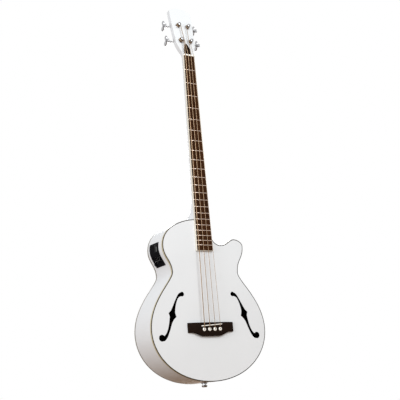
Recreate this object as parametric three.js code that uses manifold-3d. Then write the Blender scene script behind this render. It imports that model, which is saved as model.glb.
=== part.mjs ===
// Acoustic bass guitar: a hollow flat-topped body with f-holes and a rounded cutaway, a bolted-up neck,
// four geared tuners, four wound strings and a battery preamp let into the bass side.
// Millimetres. +X is the treble side, -Y the front (the player's audience), +Z up along the neck.
// Every piece is drawn from the tail of the body and the face of the soundboard, and the outer group
// moves the whole instrument so that its origin is the bottom centre of its bounding box.

import * as THREE from "three";
import { mergeVertices } from "three/addons/utils/BufferGeometryUtils.js";
import Module from "manifold-3d";

const wasm = await Module();
wasm.setup();

// Whole instrument
const SCALE_LENGTH = 864;
const FRET_COUNT = 22;
const BODY_JOIN_FRET = 17;
const FIT_GAP = 0.3;
const CUT_OVERRUN = 4;
const PLACE_STEP = 0.01;

// Body outline. The lower bout's height is taken from the tail. The waist, the upper bout and the
// horn's tip are set by how far the body stands above them, the horn's side and the cutaway's floor
// by how far the tip stands above them, and the cheek by its height above that floor.
const BODY_LENGTH = 490;
const LOWER_BOUT = 400;
const LOWER_BOUT_HEIGHT = 155;
const WAIST = 234;
const WAIST_HEIGHT = 165;
const UPPER_BOUT = 287;
const UPPER_BOUT_HEIGHT = 86;
const HORN_REACH = 112.5;
const HORN_HEIGHT = 58.5;
const HORN_SIDE_HEIGHT = 19.5;
const CUTAWAY_REACH = 61;
const CUTAWAY_HEIGHT = 20;
const CHEEK_REACH = 25.5;
const CHEEK_HEIGHT = 43.5;

// Body depth
const TAIL_DEPTH = 115;
const NECK_DEPTH = 93;
const BACK_CROWN = 4;

// Plates, ribs, linings and bindings
const TOP_THICKNESS = 3;
const BACK_THICKNESS = 3;
const RIB_THICKNESS = 2.5;
const BINDING_WIDTH = 2.2;
const BINDING_DEPTH = 6;
const PURFLING_DEPTH = 1;
const LINING_WIDTH = 6;
const LINING_DEPTH = 9;

// Blocks and braces
const NECK_BLOCK_REACH = 29;
const NECK_BLOCK_LENGTH = 42;
const TAIL_BLOCK_HALF_WIDTH = 35;
const TAIL_BLOCK_LENGTH = 20;
const TONE_BAR_REACH = 50;
const TONE_BAR_WIDTH = 9;
const TONE_BAR_DEPTH = 14;
const TONE_BAR_FOOT = 42;
const TONE_BAR_HEAD = 98;
const CROSS_BAR_DEPTH = 10;
const BACK_BRACE_WIDTH = 9;
const BACK_BRACE_DEPTH = 8;
const BACK_STRIP_WIDTH = 20;
const BACK_STRIP_DEPTH = 2.5;

// F-holes. Each eye is set by how far it lies inside the waist or the lower bout.
const FHOLE_UPPER_EYE = 7;
const FHOLE_UPPER_INSET = 27.5;
const FHOLE_UPPER_HEIGHT = 259.5;
const FHOLE_LOWER_EYE = 9.9;
const FHOLE_LOWER_INSET = 33.5;
const FHOLE_LOWER_HEIGHT = 132;

// Bridge, saddle and pins
const BRIDGE_WIDTH = 158;
const BRIDGE_TOP_EDGE = 8.5;
const BRIDGE_LENGTH = 29;
const BRIDGE_BELLY = 11.5;
const BRIDGE_BELLY_WIDTH = 130;
const BRIDGE_BELLY_RAMP_SHARE = 0.6;
const BRIDGE_THICKNESS = 9.5;
const BRIDGE_WING_THICKNESS = 4.5;
const BRIDGE_WING_LENGTH = 26;
const SADDLE_LENGTH = 72;
const SADDLE_THICKNESS = 3;
const SADDLE_HEIGHT = 12.2;
const SADDLE_SLOT_DEPTH = 6;
const SADDLE_SETBACK = 1.2;
const SADDLE_SLANT = 4.4;
const PICKUP_THICKNESS = 1;
const BRIDGE_STRING_SPACING = 18.6;
const PIN_SETBACK = 12.4;
const PIN_HEAD_RADIUS = 5.5;
const PIN_HEAD_HEIGHT = 3.4;
const PIN_SHANK_RADIUS = 2.6;
const PIN_SHANK_LENGTH = 15.2;
const PIN_DOT_RADIUS = 1.7;
const PIN_DOT_DEPTH = 0.4;
const BRIDGE_PLATE_THICKNESS = 3;
const BRIDGE_PLATE_LENGTH = 34;

// Neck and heel
const NUT_WIDTH = 40.4;
const BOARD_END_WIDTH = 57;
const BOARD_OVERHANG = 17.5;
const BOARD_THICKNESS = 6.5;
const BOARD_BINDING_WIDTH = 1.8;
const NECK_DEPTH_AT_NUT = 17;
const NECK_DEPTH_AT_HEEL = 20;
const HEEL_RISE = 78;
const HEEL_SWELL = 5;
const HEEL_SHARPNESS = 2.6;
const HEEL_CAP_THICKNESS = 2.4;
const HEEL_CAP_HALF_WIDTH = 13;
const HEEL_CAP_LENGTH = 16;

// Frets and nut
const FRET_WIDTH = 2.4;
const FRET_CROWN_WIDTH = 1.3;
const FRET_HEIGHT = 1.1;
const FRET_END_INSET = 0.6;
const FRET_TANG_WIDTH = 0.6;
const FRET_TANG_DEPTH = 2.4;
const FRET_SLOT_CLEARANCE = 0.1;
const FRET_RAIL_WIDTH = 3;
const FRET_RAIL_DEPTH = 2.6;
const NUT_THICKNESS = 5;
const NUT_HEIGHT = 9.4;
const NUT_STRING_SPACING = 10.2;

// Head
const HEAD_TILT = THREE.MathUtils.degToRad(10.5);
const HEAD_THICKNESS = 16;
const HEAD_LENGTH = 172;
const HEAD_CREST = 12;
const HEAD_FLARE_WIDTH = 70;
const HEAD_TOP_WIDTH = 79;
const TRUSS_ROD_START = 30;
const TRUSS_ROD_RADIUS = 3;
const TRUSS_NUT_RADIUS = 3.8;
const TRUSS_NUT_LENGTH = 10;
const TRUSS_CHANNEL_WIDTH = 11;
const TRUSS_CHANNEL_DEPTH = 11.5;
const TRUSS_POCKET_LENGTH = 20;
const COVER_LENGTH = 45;
const COVER_WIDTH = 24;
const COVER_THICKNESS = 1.8;

// Tuners
const POST_ROWS = [54, 112];
const POST_REACH = 17.8;
const POST_RADIUS = 4.6;
const POST_CAP_RADIUS = 5.6;
const POST_STEM_RADIUS = 3.2;
const POST_TOP = 15.5;
const POST_CAP_HEIGHT = 2.6;
const POST_CAP_SLOPE = 0.8;
const POST_SLOT_WIDTH = 1.8;
const POST_SLOT_DEPTH = 6;
const BUSHING_RADIUS = 6.3;
const BUSHING_FLANGE_RADIUS = 8.6;
const BUSHING_FLANGE_HEIGHT = 1.6;
const PLATE_WIDTH = 26;
const PLATE_LENGTH = 34;
const PLATE_THICKNESS = 1.6;
const GEAR_TEETH = 14;
const GEAR_RADIUS = 4.8;
const GEAR_TOOTH_DEPTH = 0.7;
const GEAR_STANDOFF = 0.6;
const GEAR_THICKNESS = 5.5;
const WORM_RADIUS = 1.9;
const WORM_LENGTH = 9;
const WORM_GAP = 0.25;
const KEY_SHAFT_RADIUS = 1.5;
const KEY_BOSS_START = 41;
const KEY_BOSS_END = 48;
const KEY_BOSS_RADIUS = 3.6;
const LUG_WIDTH = 3;
const LUG_HALF_HEIGHT = 3;
const KEY_REACH = 55.5;
const KEY_LOBE_RADIUS = 13;
const KEY_LOBE_SWELL = 6.3;
const KEY_LOBE_STEPS = 24;
const KEY_THICKNESS = 4;
const KEY_HUB_RADIUS = 4.5;
const KEY_HUB_HEIGHT = 1.5;

// Strings, from the lowest to the highest
const STRING_RADII = [1.25, 1, 0.8, 0.58];
const STRING_TURNS = [2, 2, 2, 3];
const STRING_ROWS = [0, 1, 1, 0];
const STRING_TURN_GAP = 0.5;
const STRING_SIDES = 6;
const TURN_STEPS = 24;
const BALL_END_RADIUS = 2.1;
const BALL_END_LENGTH = 4;
const PIN_STRING_OFFSET = 3.1;

// Preamp. Its foot is set by how far the body stands above it, and every row by its height above the foot.
const PREAMP_FOOT = 139;
const PREAMP_HEAD = 70;
const PREAMP_FRONT = 26;
const PREAMP_WIDTH = 54;
const PREAMP_PLATE = 2.2;
const PREAMP_FRAME = 3;
const PREAMP_CASE_DEPTH = 56;
const PREAMP_CASE_WALL = 1.5;
const SLIDER_COUNT = 4;
const SLIDER_PITCH = 7.6;
const SLIDER_FIRST = 7.5;
const SLIDER_TRAVEL = 18;
const SLIDER_STEM = 1.6;
const SLIDER_CAP_WIDTH = 4.6;
const SLIDER_CAP_LENGTH = 5;
const SLIDER_CAP_HEIGHT = 3.4;
const SLIDER_FOOT_THICKNESS = 1.2;
const SLIDER_FOOT_WIDTH = 5;
const SLIDER_ROW_HEIGHT = 19;
const VOLUME_RADIUS = 5;
const VOLUME_HEIGHT = 5;
const VOLUME_PLACE = 44;
const VOLUME_ROW_HEIGHT = 11;
const BUTTON_RADIUS = 3.4;
const BUTTON_HEIGHT = 2.6;
const BUTTON_ROW_HEIGHT = 28;
const BUTTON_TRAVEL = 1.2;
const CONTROL_STEM_RADIUS = 2;
const DOOR_PLACE = 27.5;
const DOOR_WIDTH = 23;
const DOOR_FOOT = 40.5;
const DOOR_HEAD = 67;
const WINDOW_PLACE = 4;
const WINDOW_WIDTH = 19;
const WINDOW_RECESS = 0.8;
const BATTERY_THICKNESS = 16.5;
const BATTERY_WIDTH = 24.5;
const BATTERY_LENGTH = 46;
const BOARD_CARD_THICKNESS = 1.6;
const BOARD_CARD_SETBACK = 22;
const BOARD_CARD_GAP = 3;

// End jack and strap button
const JACK_PLACE_SHARE = 0.5;
const JACK_BARREL_RADIUS = 6;
const JACK_BARREL_LENGTH = 46;
const JACK_BORE_RADIUS = 3.3;
const JACK_BORE_LENGTH = 38;
const JACK_FLARE_RADIUS = 8.8;
const JACK_FLARE_EDGE = 3;
const JACK_FLARE_WIDTH = 2.2;
const JACK_NECK_RADIUS = 5.5;
const JACK_COLLAR_RADIUS = 8;
const JACK_COLLAR_WIDTH = 1.6;
const JACK_REACH = 13;
const JACK_WASHER_RADIUS = 9.6;
const JACK_WASHER_THICKNESS = 1.4;
const STRAP_BUTTON_RADIUS = 7;
const STRAP_BUTTON_LENGTH = 11;
const STRAP_BUTTON_HEIGHT = 10;

// Derived places
const lowerHalf = LOWER_BOUT / 2;
const boardEndHalf = BOARD_END_WIDTH / 2;
const fretDistance = (number) => SCALE_LENGTH * (1 - 2 ** (-number / 12));
const nutHeight = BODY_LENGTH + fretDistance(BODY_JOIN_FRET);
const nutTop = nutHeight + NUT_THICKNESS;
const boardLength = fretDistance(FRET_COUNT) + BOARD_OVERHANG;
const boardEndHeight = nutHeight - boardLength;
const saddleHeight = nutHeight - SCALE_LENGTH - SADDLE_SETBACK;
const pinHeight = saddleHeight - PIN_SETBACK;
const bridgePlateFoot = pinHeight - BRIDGE_PLATE_LENGTH / 2;
const bridgePlateHead = bridgePlateFoot + BRIDGE_PLATE_LENGTH;
const fretTop = BOARD_THICKNESS + FRET_HEIGHT;
const boardHalf = (z) => THREE.MathUtils.mapLinear(z, nutHeight, boardEndHeight, NUT_WIDTH / 2, boardEndHalf);
const backDepth = (x, z) =>
  TAIL_DEPTH + ((NECK_DEPTH - TAIL_DEPTH) * z) / BODY_LENGTH + BACK_CROWN * (1 - (x / lowerHalf) ** 2);
const heelDepth = backDepth(0, BODY_LENGTH);
const toneBarHead = BODY_LENGTH - TONE_BAR_HEAD;
const preampFoot = BODY_LENGTH - PREAMP_FOOT;
const preampHead = preampFoot + PREAMP_HEAD;
const doorFoot = preampFoot + DOOR_FOOT;
const doorHead = preampFoot + DOOR_HEAD;
const sliderRow = preampFoot + SLIDER_ROW_HEIGHT;
const volumeRow = preampFoot + VOLUME_ROW_HEIGHT;
const buttonRow = preampFoot + BUTTON_ROW_HEIGHT;
const rimInset = BINDING_WIDTH + FIT_GAP;
const liningInset = RIB_THICKNESS + FIT_GAP;

const headMatrix = new THREE.Matrix4().makeRotationX(-HEAD_TILT).setPosition(0, 0, nutTop);
const trussFoot = BODY_LENGTH + TRUSS_ROD_START;
const jackDepth = JACK_PLACE_SHARE * backDepth(0, 0);

// Finishes
const finish = (color, roughness, metalness) => ({ color, roughness, metalness });
const WHITE_GLOSS = finish(0xf1f1f3, 0.12, 0);
const RAW_SPRUCE = finish(0xd9b98a, 0.7, 0);
const RAW_MAHOGANY = finish(0x8a5738, 0.7, 0);
const CREAM = finish(0xe9dfc3, 0.35, 0);
const BLACK_LINE = finish(0x2b2420, 0.4, 0);
const ROSEWOOD = finish(0x2f1b14, 0.5, 0);
const NICKEL = finish(0xd9d2c0, 0.25, 1);
const CHROME = finish(0xc9ccd0, 0.12, 1);
const BRONZE = finish(0xb79a6c, 0.35, 1);
const BLACK_PLASTIC = finish(0x141416, 0.4, 0);
const STEEL = finish(0x8d8f92, 0.4, 1);
const BRASS = finish(0xb89a55, 0.35, 1);
const GREEN_CARD = finish(0x1d5a36, 0.5, 0);

// Closed bodies from triangles
function signedVolume(position, index) {
  const a = new THREE.Vector3();
  const b = new THREE.Vector3();
  const c = new THREE.Vector3();
  let sum = 0;
  for (let i = 0; i < index.length; i += 3) {
    a.fromBufferAttribute(position, index[i]);
    b.fromBufferAttribute(position, index[i + 1]);
    c.fromBufferAttribute(position, index[i + 2]);
    sum += a.dot(b.cross(c));
  }
  return sum;
}

function closedBody(source) {
  const bare = source.clone();
  bare.deleteAttribute("normal");
  bare.deleteAttribute("uv");
  const merged = mergeVertices(bare);
  const all = merged.index.array;
  const kept = [];
  for (let i = 0; i < all.length; i += 3) {
    const [p, q, r] = [all[i], all[i + 1], all[i + 2]];
    if (p !== q && q !== r && r !== p) kept.push(p, q, r);
  }
  if (signedVolume(merged.attributes.position, kept) < 0) kept.reverse();
  merged.setIndex(kept);
  return merged;
}

function toSolid(geometry) {
  const body = closedBody(geometry);
  return new wasm.Manifold(new wasm.Mesh({
    numProp: 3,
    vertProperties: new Float32Array(body.attributes.position.array),
    triVerts: new Uint32Array(body.index.array),
  }));
}

function toGeometry(solid) {
  const mesh = solid.getMesh();
  const geometry = new THREE.BufferGeometry();
  geometry.setAttribute("position", new THREE.BufferAttribute(new Float32Array(mesh.vertProperties), 3));
  geometry.setIndex(Array.from(mesh.triVerts));
  return geometry;
}

const minus = (geometry, ...tools) =>
  toGeometry(tools.reduce((solid, tool) => solid.subtract(toSolid(tool)), toSolid(geometry)));
const plus = (geometry, ...others) =>
  toGeometry(others.reduce((solid, other) => solid.add(toSolid(other)), toSolid(geometry)));
const common = (geometry, other) => toGeometry(toSolid(geometry).intersect(toSolid(other)));

// Sections of equal counts joined into one skin, as a ring or with a cap at each end
function loft(sections, ring = false) {
  const count = sections[0].length;
  const positions = sections.flat().flatMap((p) => [p.x, p.y, p.z]);
  const index = [];
  const last = ring ? sections.length : sections.length - 1;
  for (let i = 0; i < last; i++) {
    const here = i * count;
    const next = ((i + 1) % sections.length) * count;
    for (let j = 0; j < count; j++) {
      const k = (j + 1) % count;
      index.push(here + j, here + k, next + k, here + j, next + k, next + j);
    }
  }
  if (!ring) {
    [0, sections.length - 1].forEach((end) => {
      const middle = positions.length / 3;
      const centre = new THREE.Vector3();
      sections[end].forEach((p) => centre.add(p));
      centre.divideScalar(count);
      positions.push(centre.x, centre.y, centre.z);
      for (let j = 0; j < count; j++) {
        const k = (j + 1) % count;
        if (end === 0) index.push(middle, end * count + k, end * count + j);
        else index.push(middle, end * count + j, end * count + k);
      }
    });
  }
  const geometry = new THREE.BufferGeometry();
  geometry.setAttribute("position", new THREE.Float32BufferAttribute(positions, 3));
  geometry.setIndex(index);
  return closedBody(geometry);
}

// A plan drawn in X and Z, standing from one depth to another along Y
function slab(plan, front, back, holes = []) {
  const shape = new THREE.Shape(plan.map(([x, z]) => new THREE.Vector2(x, z)));
  holes.forEach((hole) => shape.holes.push(new THREE.Path(hole.map(([x, z]) => new THREE.Vector2(x, z)))));
  const solid = new THREE.ExtrudeGeometry(shape, { depth: back - front, bevelEnabled: false });
  solid.rotateX(Math.PI / 2);
  solid.translate(0, back, 0);
  return solid;
}

function block(x0, x1, y0, y1, z0, z1) {
  const box = new THREE.BoxGeometry(x1 - x0, y1 - y0, z1 - z0);
  box.translate((x0 + x1) / 2, (y0 + y1) / 2, (z0 + z1) / 2);
  return box;
}

// A turned piece: radii and places along the Y axis
function turned(profile, sides = 20) {
  return new THREE.LatheGeometry(profile.map(([r, y]) => new THREE.Vector2(r, y)), sides);
}

function rod(radius, from, to, sides = 20) {
  return turned([[0, from], [radius, from], [radius, to], [0, to]], sides);
}

function placed(geometry, x, y, z) {
  geometry.translate(x, y, z);
  return geometry;
}

const alongZ = (geometry) => geometry.rotateX(Math.PI / 2);
const alongX = (geometry) => geometry.rotateZ(-Math.PI / 2);

// The body's outline, as smooth sweeps between places whose direction is level or upright
const tail = { x: 0, z: 0, level: true };
const lower = { x: lowerHalf, z: LOWER_BOUT_HEIGHT, level: false };
const waist = { x: WAIST / 2, z: BODY_LENGTH - WAIST_HEIGHT, level: false };
const upper = { x: UPPER_BOUT / 2, z: BODY_LENGTH - UPPER_BOUT_HEIGHT, level: false };
const shoulder = { x: boardHalf(BODY_LENGTH), z: BODY_LENGTH, level: true };
const hornTip = { x: HORN_REACH, z: BODY_LENGTH - HORN_HEIGHT, level: true };
const hornSide = { x: UPPER_BOUT / 2, z: hornTip.z - HORN_SIDE_HEIGHT, level: false };
const cutawayFloor = { x: CUTAWAY_REACH, z: hornTip.z - CUTAWAY_HEIGHT, level: true };
const cheek = { x: CHEEK_REACH, z: cutawayFloor.z + CHEEK_HEIGHT, level: false };

// How far each sweep's two handles reach, as shares of its run or its rise
const tailShares = [0.59, 0.535];
const lowerBoutShares = [0.5, 0.14];
const bassBoutShares = [0.456, 0.418];
const shoulderShares = [0.84, 0.13];
const trebleBoutShares = [0.5, 0.5];
const hornShares = [0.5, 0.4];
const cutawayShares = [0.35, 0.49];
const cheekShares = [0.66, 0.46];

function sweep(from, to, [startShare, endShare], steps) {
  const run = to.x - from.x;
  const rise = to.z - from.z;
  const leaving = from.level ? [startShare * run, 0] : [0, startShare * rise];
  const arriving = to.level ? [endShare * run, 0] : [0, endShare * rise];
  const curve = new THREE.CubicBezierCurve(
    new THREE.Vector2(from.x, from.z),
    new THREE.Vector2(from.x + leaving[0], from.z + leaving[1]),
    new THREE.Vector2(to.x - arriving[0], to.z - arriving[1]),
    new THREE.Vector2(to.x, to.z),
  );
  return curve.getSpacedPoints(steps).slice(0, -1);
}

const lowerHalfOfSide = [...sweep(tail, lower, tailShares, 11), ...sweep(lower, waist, lowerBoutShares, 9)];
const bassSide = [
  ...lowerHalfOfSide,
  ...sweep(waist, upper, bassBoutShares, 6),
  ...sweep(upper, shoulder, shoulderShares, 9),
  new THREE.Vector2(shoulder.x, shoulder.z),
];
const trebleSide = [
  ...lowerHalfOfSide,
  ...sweep(waist, hornSide, trebleBoutShares, 6),
  ...sweep(hornSide, hornTip, hornShares, 5),
  ...sweep(hornTip, cutawayFloor, cutawayShares, 6),
  ...sweep(cutawayFloor, cheek, cheekShares, 6),
  new THREE.Vector2(cheek.x, cheek.z),
  new THREE.Vector2(cheek.x, BODY_LENGTH),
];
const rim = [
  ...bassSide.map((p) => new THREE.Vector2(-p.x, p.y)),
  new THREE.Vector2(0, BODY_LENGTH),
  ...trebleSide.slice(1).reverse(),
];
const topCentre = bassSide.length;

// The outline moved inwards by a distance, corners kept square
function inset(distance) {
  return rim.map((p, i) => {
    const before = p.clone().sub(rim.at(i - 1)).normalize();
    const after = rim[(i + 1) % rim.length].clone().sub(p).normalize();
    const mitre = new THREE.Vector2(before.y + after.y, -before.x - after.x);
    return p.clone().addScaledVector(mitre, distance / (1 + before.dot(after)));
  });
}

// A strip that follows the outline between two insets, from one depth to another
function strip(outer, inner, front, back, choose = (list) => list, ring = true) {
  const outside = choose(inset(outer));
  const inside = choose(inset(inner));
  const corner = (p, depth) => new THREE.Vector3(p.x, depth(p.x, p.y), p.y);
  const sections = outside.map((p, i) => [
    corner(p, front), corner(p, back), corner(inside[i], back), corner(inside[i], front),
  ]);
  return loft(sections, ring);
}

const flat = (depth) => () => depth;
const underBack = (distance) => (x, z) => backDepth(x, z) - distance;
const bassHalf = (list) => list.slice(0, topCentre + 1);
const trebleHalf = (list) => [...list.slice(topCentre), list[0]];

// The linings stop short of the neck block on both sides
const liningHead = BODY_LENGTH - NECK_BLOCK_LENGTH - 2 * LINING_WIDTH;
const liningReach = NECK_BLOCK_REACH + LINING_WIDTH;
const liningStart = rim.findIndex((p, i) => i > topCentre && p.y < liningHead);
const liningEnd = rim.findIndex((p) => p.y > waist.z && p.x > -liningReach) - 1;
const liningRun = (list) => [...list.slice(liningStart), ...list.slice(0, liningEnd + 1)];

// The place on one side of the outline at a height, moved outwards
function wallPlace(line, z) {
  const i = line.findIndex((p) => p.y >= z);
  const share = (z - line[i - 1].y) / (line[i].y - line[i - 1].y);
  return THREE.MathUtils.lerp(line[i - 1].x, line[i].x, share);
}

const bassWall = (z, outwards = 0) => wallPlace(bassHalf(inset(-outwards)), z);
const trebleWall = (z, outwards = 0) => wallPlace(trebleHalf(inset(-outwards)).reverse(), z);

// F-hole, as shares of its height and of its spread, from the lower eye to the upper one
const lowerEye = { x: lower.x - FHOLE_LOWER_INSET, z: FHOLE_LOWER_HEIGHT };
const upperEye = { x: waist.x - FHOLE_UPPER_INSET, z: FHOLE_UPPER_HEIGHT };
const outerEdgeShares = [
  [0.94, 0.03], [0.82, 0.085], [0.723, 0.19], [0.655, 0.325], [0.617, 0.44], [0.607, 0.49],
  [0.645, 0.563], [0.545, 0.62], [0.47, 0.69], [0.385, 0.785], [0.28, 0.9], [0.15, 1.01], [0.02, 1.045],
];
const innerEdgeShares = [
  [-0.03, 0.96], [0.07, 0.945], [0.168, 0.915], [0.234, 0.852], [0.296, 0.76], [0.345, 0.64],
  [0.352, 0.56], [0.312, 0.475], [0.43, 0.41], [0.523, 0.325], [0.598, 0.212], [0.664, 0.122],
  [0.77, 0], [0.9, -0.07], [1.02, -0.065],
];

function fHole(side) {
  const spread = lowerEye.x - upperEye.x;
  const height = upperEye.z - lowerEye.z;
  const edge = (shares) => shares.map(([s, t]) => [
    side * (upperEye.x + s * spread), lowerEye.z + t * height,
  ]);
  const eye = (centre, radius) => placed(rodAcross(radius), side * centre.x, 0, centre.z);
  const plan = [...edge(outerEdgeShares), ...edge(innerEdgeShares)];
  const stem = slab(plan, -CUT_OVERRUN, TOP_THICKNESS + CUT_OVERRUN);
  return plus(stem, eye(upperEye, FHOLE_UPPER_EYE), eye(lowerEye, FHOLE_LOWER_EYE));
}

function rodAcross(radius) {
  return rod(radius, -CUT_OVERRUN, TOP_THICKNESS + CUT_OVERRUN, 18);
}

// String places at the nut and at the saddle, and the heights of their middles
const stringShift = (k) => k - (STRING_RADII.length - 1) / 2;
const nutX = (k) => stringShift(k) * NUT_STRING_SPACING;
const bridgeX = (k) => stringShift(k) * BRIDGE_STRING_SPACING;
const saddleAt = (x) => saddleHeight + (SADDLE_SLANT * x) / SADDLE_LENGTH;
const nutLift = (k) => NUT_HEIGHT + STRING_RADII[k] / 2;
const saddleLift = (k) => SADDLE_HEIGHT + FIT_GAP + STRING_RADII[k];

// Body
function makeBody(add) {
  const pinHoles = STRING_RADII.map((radius, k) => pinHole(k));
  const plan = inset(rimInset).map((p) => [p.x, p.y]);
  add("top_plate", minus(slab(plan, 0, TOP_THICKNESS), fHole(-1), fHole(1), ...pinHoles), WHITE_GLOSS);

  const ringShares = [0.3, 0.65, 1];
  const centreShare = 0.42;
  const centre = new THREE.Vector2(0, BODY_LENGTH * centreShare);
  const backRings = (distance) => ringShares.map((share) => inset(rimInset).map((p) => {
    const q = p.clone().sub(centre).multiplyScalar(share).add(centre);
    return new THREE.Vector3(q.x, backDepth(q.x, q.y) - distance, q.y);
  }));
  add("back_plate", loft([...backRings(0), ...backRings(BACK_THICKNESS).reverse()]), WHITE_GLOSS);

  const sideFront = flat(PURFLING_DEPTH + BINDING_DEPTH);
  const sideBack = underBack(BINDING_DEPTH + FIT_GAP);
  const tailSide = rim.find((p) => p.x < -TAIL_BLOCK_HALF_WIDTH).y + liningInset;
  const tailHead = tailSide + TAIL_BLOCK_LENGTH;
  const jackDrill = rod(JACK_BARREL_RADIUS + FIT_GAP, -CUT_OVERRUN, tailHead + CUT_OVERRUN);
  const jackHole = placed(alongZ(jackDrill), 0, jackDepth, 0);
  const bassRib = strip(0, RIB_THICKNESS, sideFront, sideBack, bassHalf, false);
  const trebleRib = strip(0, RIB_THICKNESS, sideFront, sideBack, trebleHalf, false);
  add("rib_bass", minus(bassRib, jackHole, preampOpening()), WHITE_GLOSS);
  add("rib_treble", minus(trebleRib, jackHole), WHITE_GLOSS);

  add("top_purfling", strip(0, BINDING_WIDTH, flat(0), flat(PURFLING_DEPTH)), BLACK_LINE);
  add("top_binding", strip(0, BINDING_WIDTH, flat(PURFLING_DEPTH), sideFront), CREAM);
  add("back_binding", strip(0, BINDING_WIDTH, underBack(BINDING_DEPTH), underBack(0)), CREAM);

  const liningInner = liningInset + LINING_WIDTH;
  const topLining = strip(
    liningInset, liningInner, flat(TOP_THICKNESS), flat(TOP_THICKNESS + LINING_DEPTH), liningRun, false,
  );
  const liningBack = BACK_THICKNESS + FIT_GAP;
  const backLining = strip(
    liningInset, liningInner, underBack(liningBack + LINING_DEPTH), underBack(liningBack), liningRun, false,
  );
  add("top_lining", topLining, RAW_MAHOGANY);
  add("back_lining", backLining, RAW_MAHOGANY);

  const blockSection = (z) => {
    const [x0, x1] = [-NECK_BLOCK_REACH, CHEEK_REACH - liningInset];
    const behind = backDepth(x0, z) - BACK_THICKNESS - FIT_GAP;
    return [[x0, TOP_THICKNESS], [x1, TOP_THICKNESS], [x1, behind], [x0, behind]]
      .map(([x, y]) => new THREE.Vector3(x, y, z));
  };
  const blockTop = BODY_LENGTH - liningInset;
  add("neck_block", loft([blockSection(blockTop - NECK_BLOCK_LENGTH), blockSection(blockTop)]), RAW_MAHOGANY);

  const tailBack = backDepth(TAIL_BLOCK_HALF_WIDTH, tailHead) - liningBack - LINING_DEPTH - FIT_GAP;
  const tailBlock = block(
    -TAIL_BLOCK_HALF_WIDTH, TAIL_BLOCK_HALF_WIDTH, TOP_THICKNESS + LINING_DEPTH, tailBack, tailSide, tailHead,
  );
  add("tail_block", minus(tailBlock, jackHole), RAW_MAHOGANY);
}

// Braces under the soundboard and across the back
function makeBraces(add) {
  const barFront = TOP_THICKNESS;
  const barSpan = TONE_BAR_REACH + TONE_BAR_WIDTH / 2;
  const barHalf = TONE_BAR_WIDTH / 2;
  const toneBar = (x) => block(
    x - barHalf, x + barHalf, barFront, barFront + TONE_BAR_DEPTH, TONE_BAR_FOOT, toneBarHead,
  );
  const crossBar = (z) => block(
    -barSpan, barSpan, barFront, barFront + CROSS_BAR_DEPTH, z - barHalf, z + barHalf,
  );
  const belowShare = 0.5;
  const aboveShares = [0.5, 0.94];
  const crossHeights = [
    THREE.MathUtils.lerp(TONE_BAR_FOOT, bridgePlateFoot, belowShare),
    ...aboveShares.map((share) => THREE.MathUtils.lerp(bridgePlateHead, toneBarHead, share)),
  ];
  const toneBars = [-TONE_BAR_REACH, TONE_BAR_REACH].map(toneBar);
  add("top_brace", plus(...toneBars, ...crossHeights.map(crossBar)), RAW_SPRUCE);

  const glue = BACK_THICKNESS + FIT_GAP;
  const bar = (z, reach) => {
    const stationShares = [-1, -0.6, -0.2, 0.2, 0.6, 1];
    return loft(stationShares.map((share) => {
      const x = share * reach;
      const [low, high] = [z - BACK_BRACE_WIDTH / 2, z + BACK_BRACE_WIDTH / 2];
      return [
        new THREE.Vector3(x, backDepth(x, low) - glue, low),
        new THREE.Vector3(x, backDepth(x, high) - glue, high),
        new THREE.Vector3(x, backDepth(x, high) - glue - BACK_BRACE_DEPTH, high),
        new THREE.Vector3(x, backDepth(x, low) - glue - BACK_BRACE_DEPTH, low),
      ];
    }));
  };
  const wall = liningInset + LINING_WIDTH + FIT_GAP;
  const edges = (z) => [z - BACK_BRACE_WIDTH / 2, z, z + BACK_BRACE_WIDTH / 2];
  const spans = (z) => edges(z).flatMap((edge) => [-bassWall(edge, -wall), trebleWall(edge, -wall)]);
  const reachAt = (z) => Math.min(...spans(z));
  const barShares = [0.2, 0.45, 0.75, 0.94];
  const bars = barShares.map((share) => bar(share * cutawayFloor.z, reachAt(share * cutawayFloor.z)));
  const stripEdge = BACK_STRIP_WIDTH / 2;
  const stripSection = (z) => [
    new THREE.Vector3(-stripEdge, backDepth(stripEdge, z) - glue, z),
    new THREE.Vector3(stripEdge, backDepth(stripEdge, z) - glue, z),
    new THREE.Vector3(stripEdge, backDepth(stripEdge, z) - glue - BACK_STRIP_DEPTH, z),
    new THREE.Vector3(-stripEdge, backDepth(stripEdge, z) - glue - BACK_STRIP_DEPTH, z),
  ];
  const stripFoot = TAIL_BLOCK_LENGTH + 2 * LINING_WIDTH;
  const stripHead = BODY_LENGTH - NECK_BLOCK_LENGTH - 2 * LINING_WIDTH;
  add("back_brace", plus(loft([stripSection(stripFoot), stripSection(stripHead)]), ...bars), RAW_SPRUCE);

  const plateReach = TONE_BAR_REACH - TONE_BAR_WIDTH / 2 - FIT_GAP;
  const plate = block(
    -plateReach, plateReach, TOP_THICKNESS, TOP_THICKNESS + BRIDGE_PLATE_THICKNESS,
    bridgePlateFoot, bridgePlateHead,
  );
  add("bridge_plate", minus(plate, ...STRING_RADII.map((radius, k) => pinHole(k))), RAW_MAHOGANY);
}

// Bridge, saddle and pins
function pinHole(k) {
  const front = -BRIDGE_THICKNESS - CUT_OVERRUN;
  const back = PIN_SHANK_LENGTH;
  const half = STRING_RADII[k] + FIT_GAP;
  const hole = placed(rod(PIN_SHANK_RADIUS + FIT_GAP, front, back, 12), bridgeX(k), 0, pinHeight);
  const notch = block(
    bridgeX(k) - half, bridgeX(k) + half, front, back, pinHeight, pinHeight + PIN_STRING_OFFSET + half,
  );
  return plus(hole, notch);
}

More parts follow.
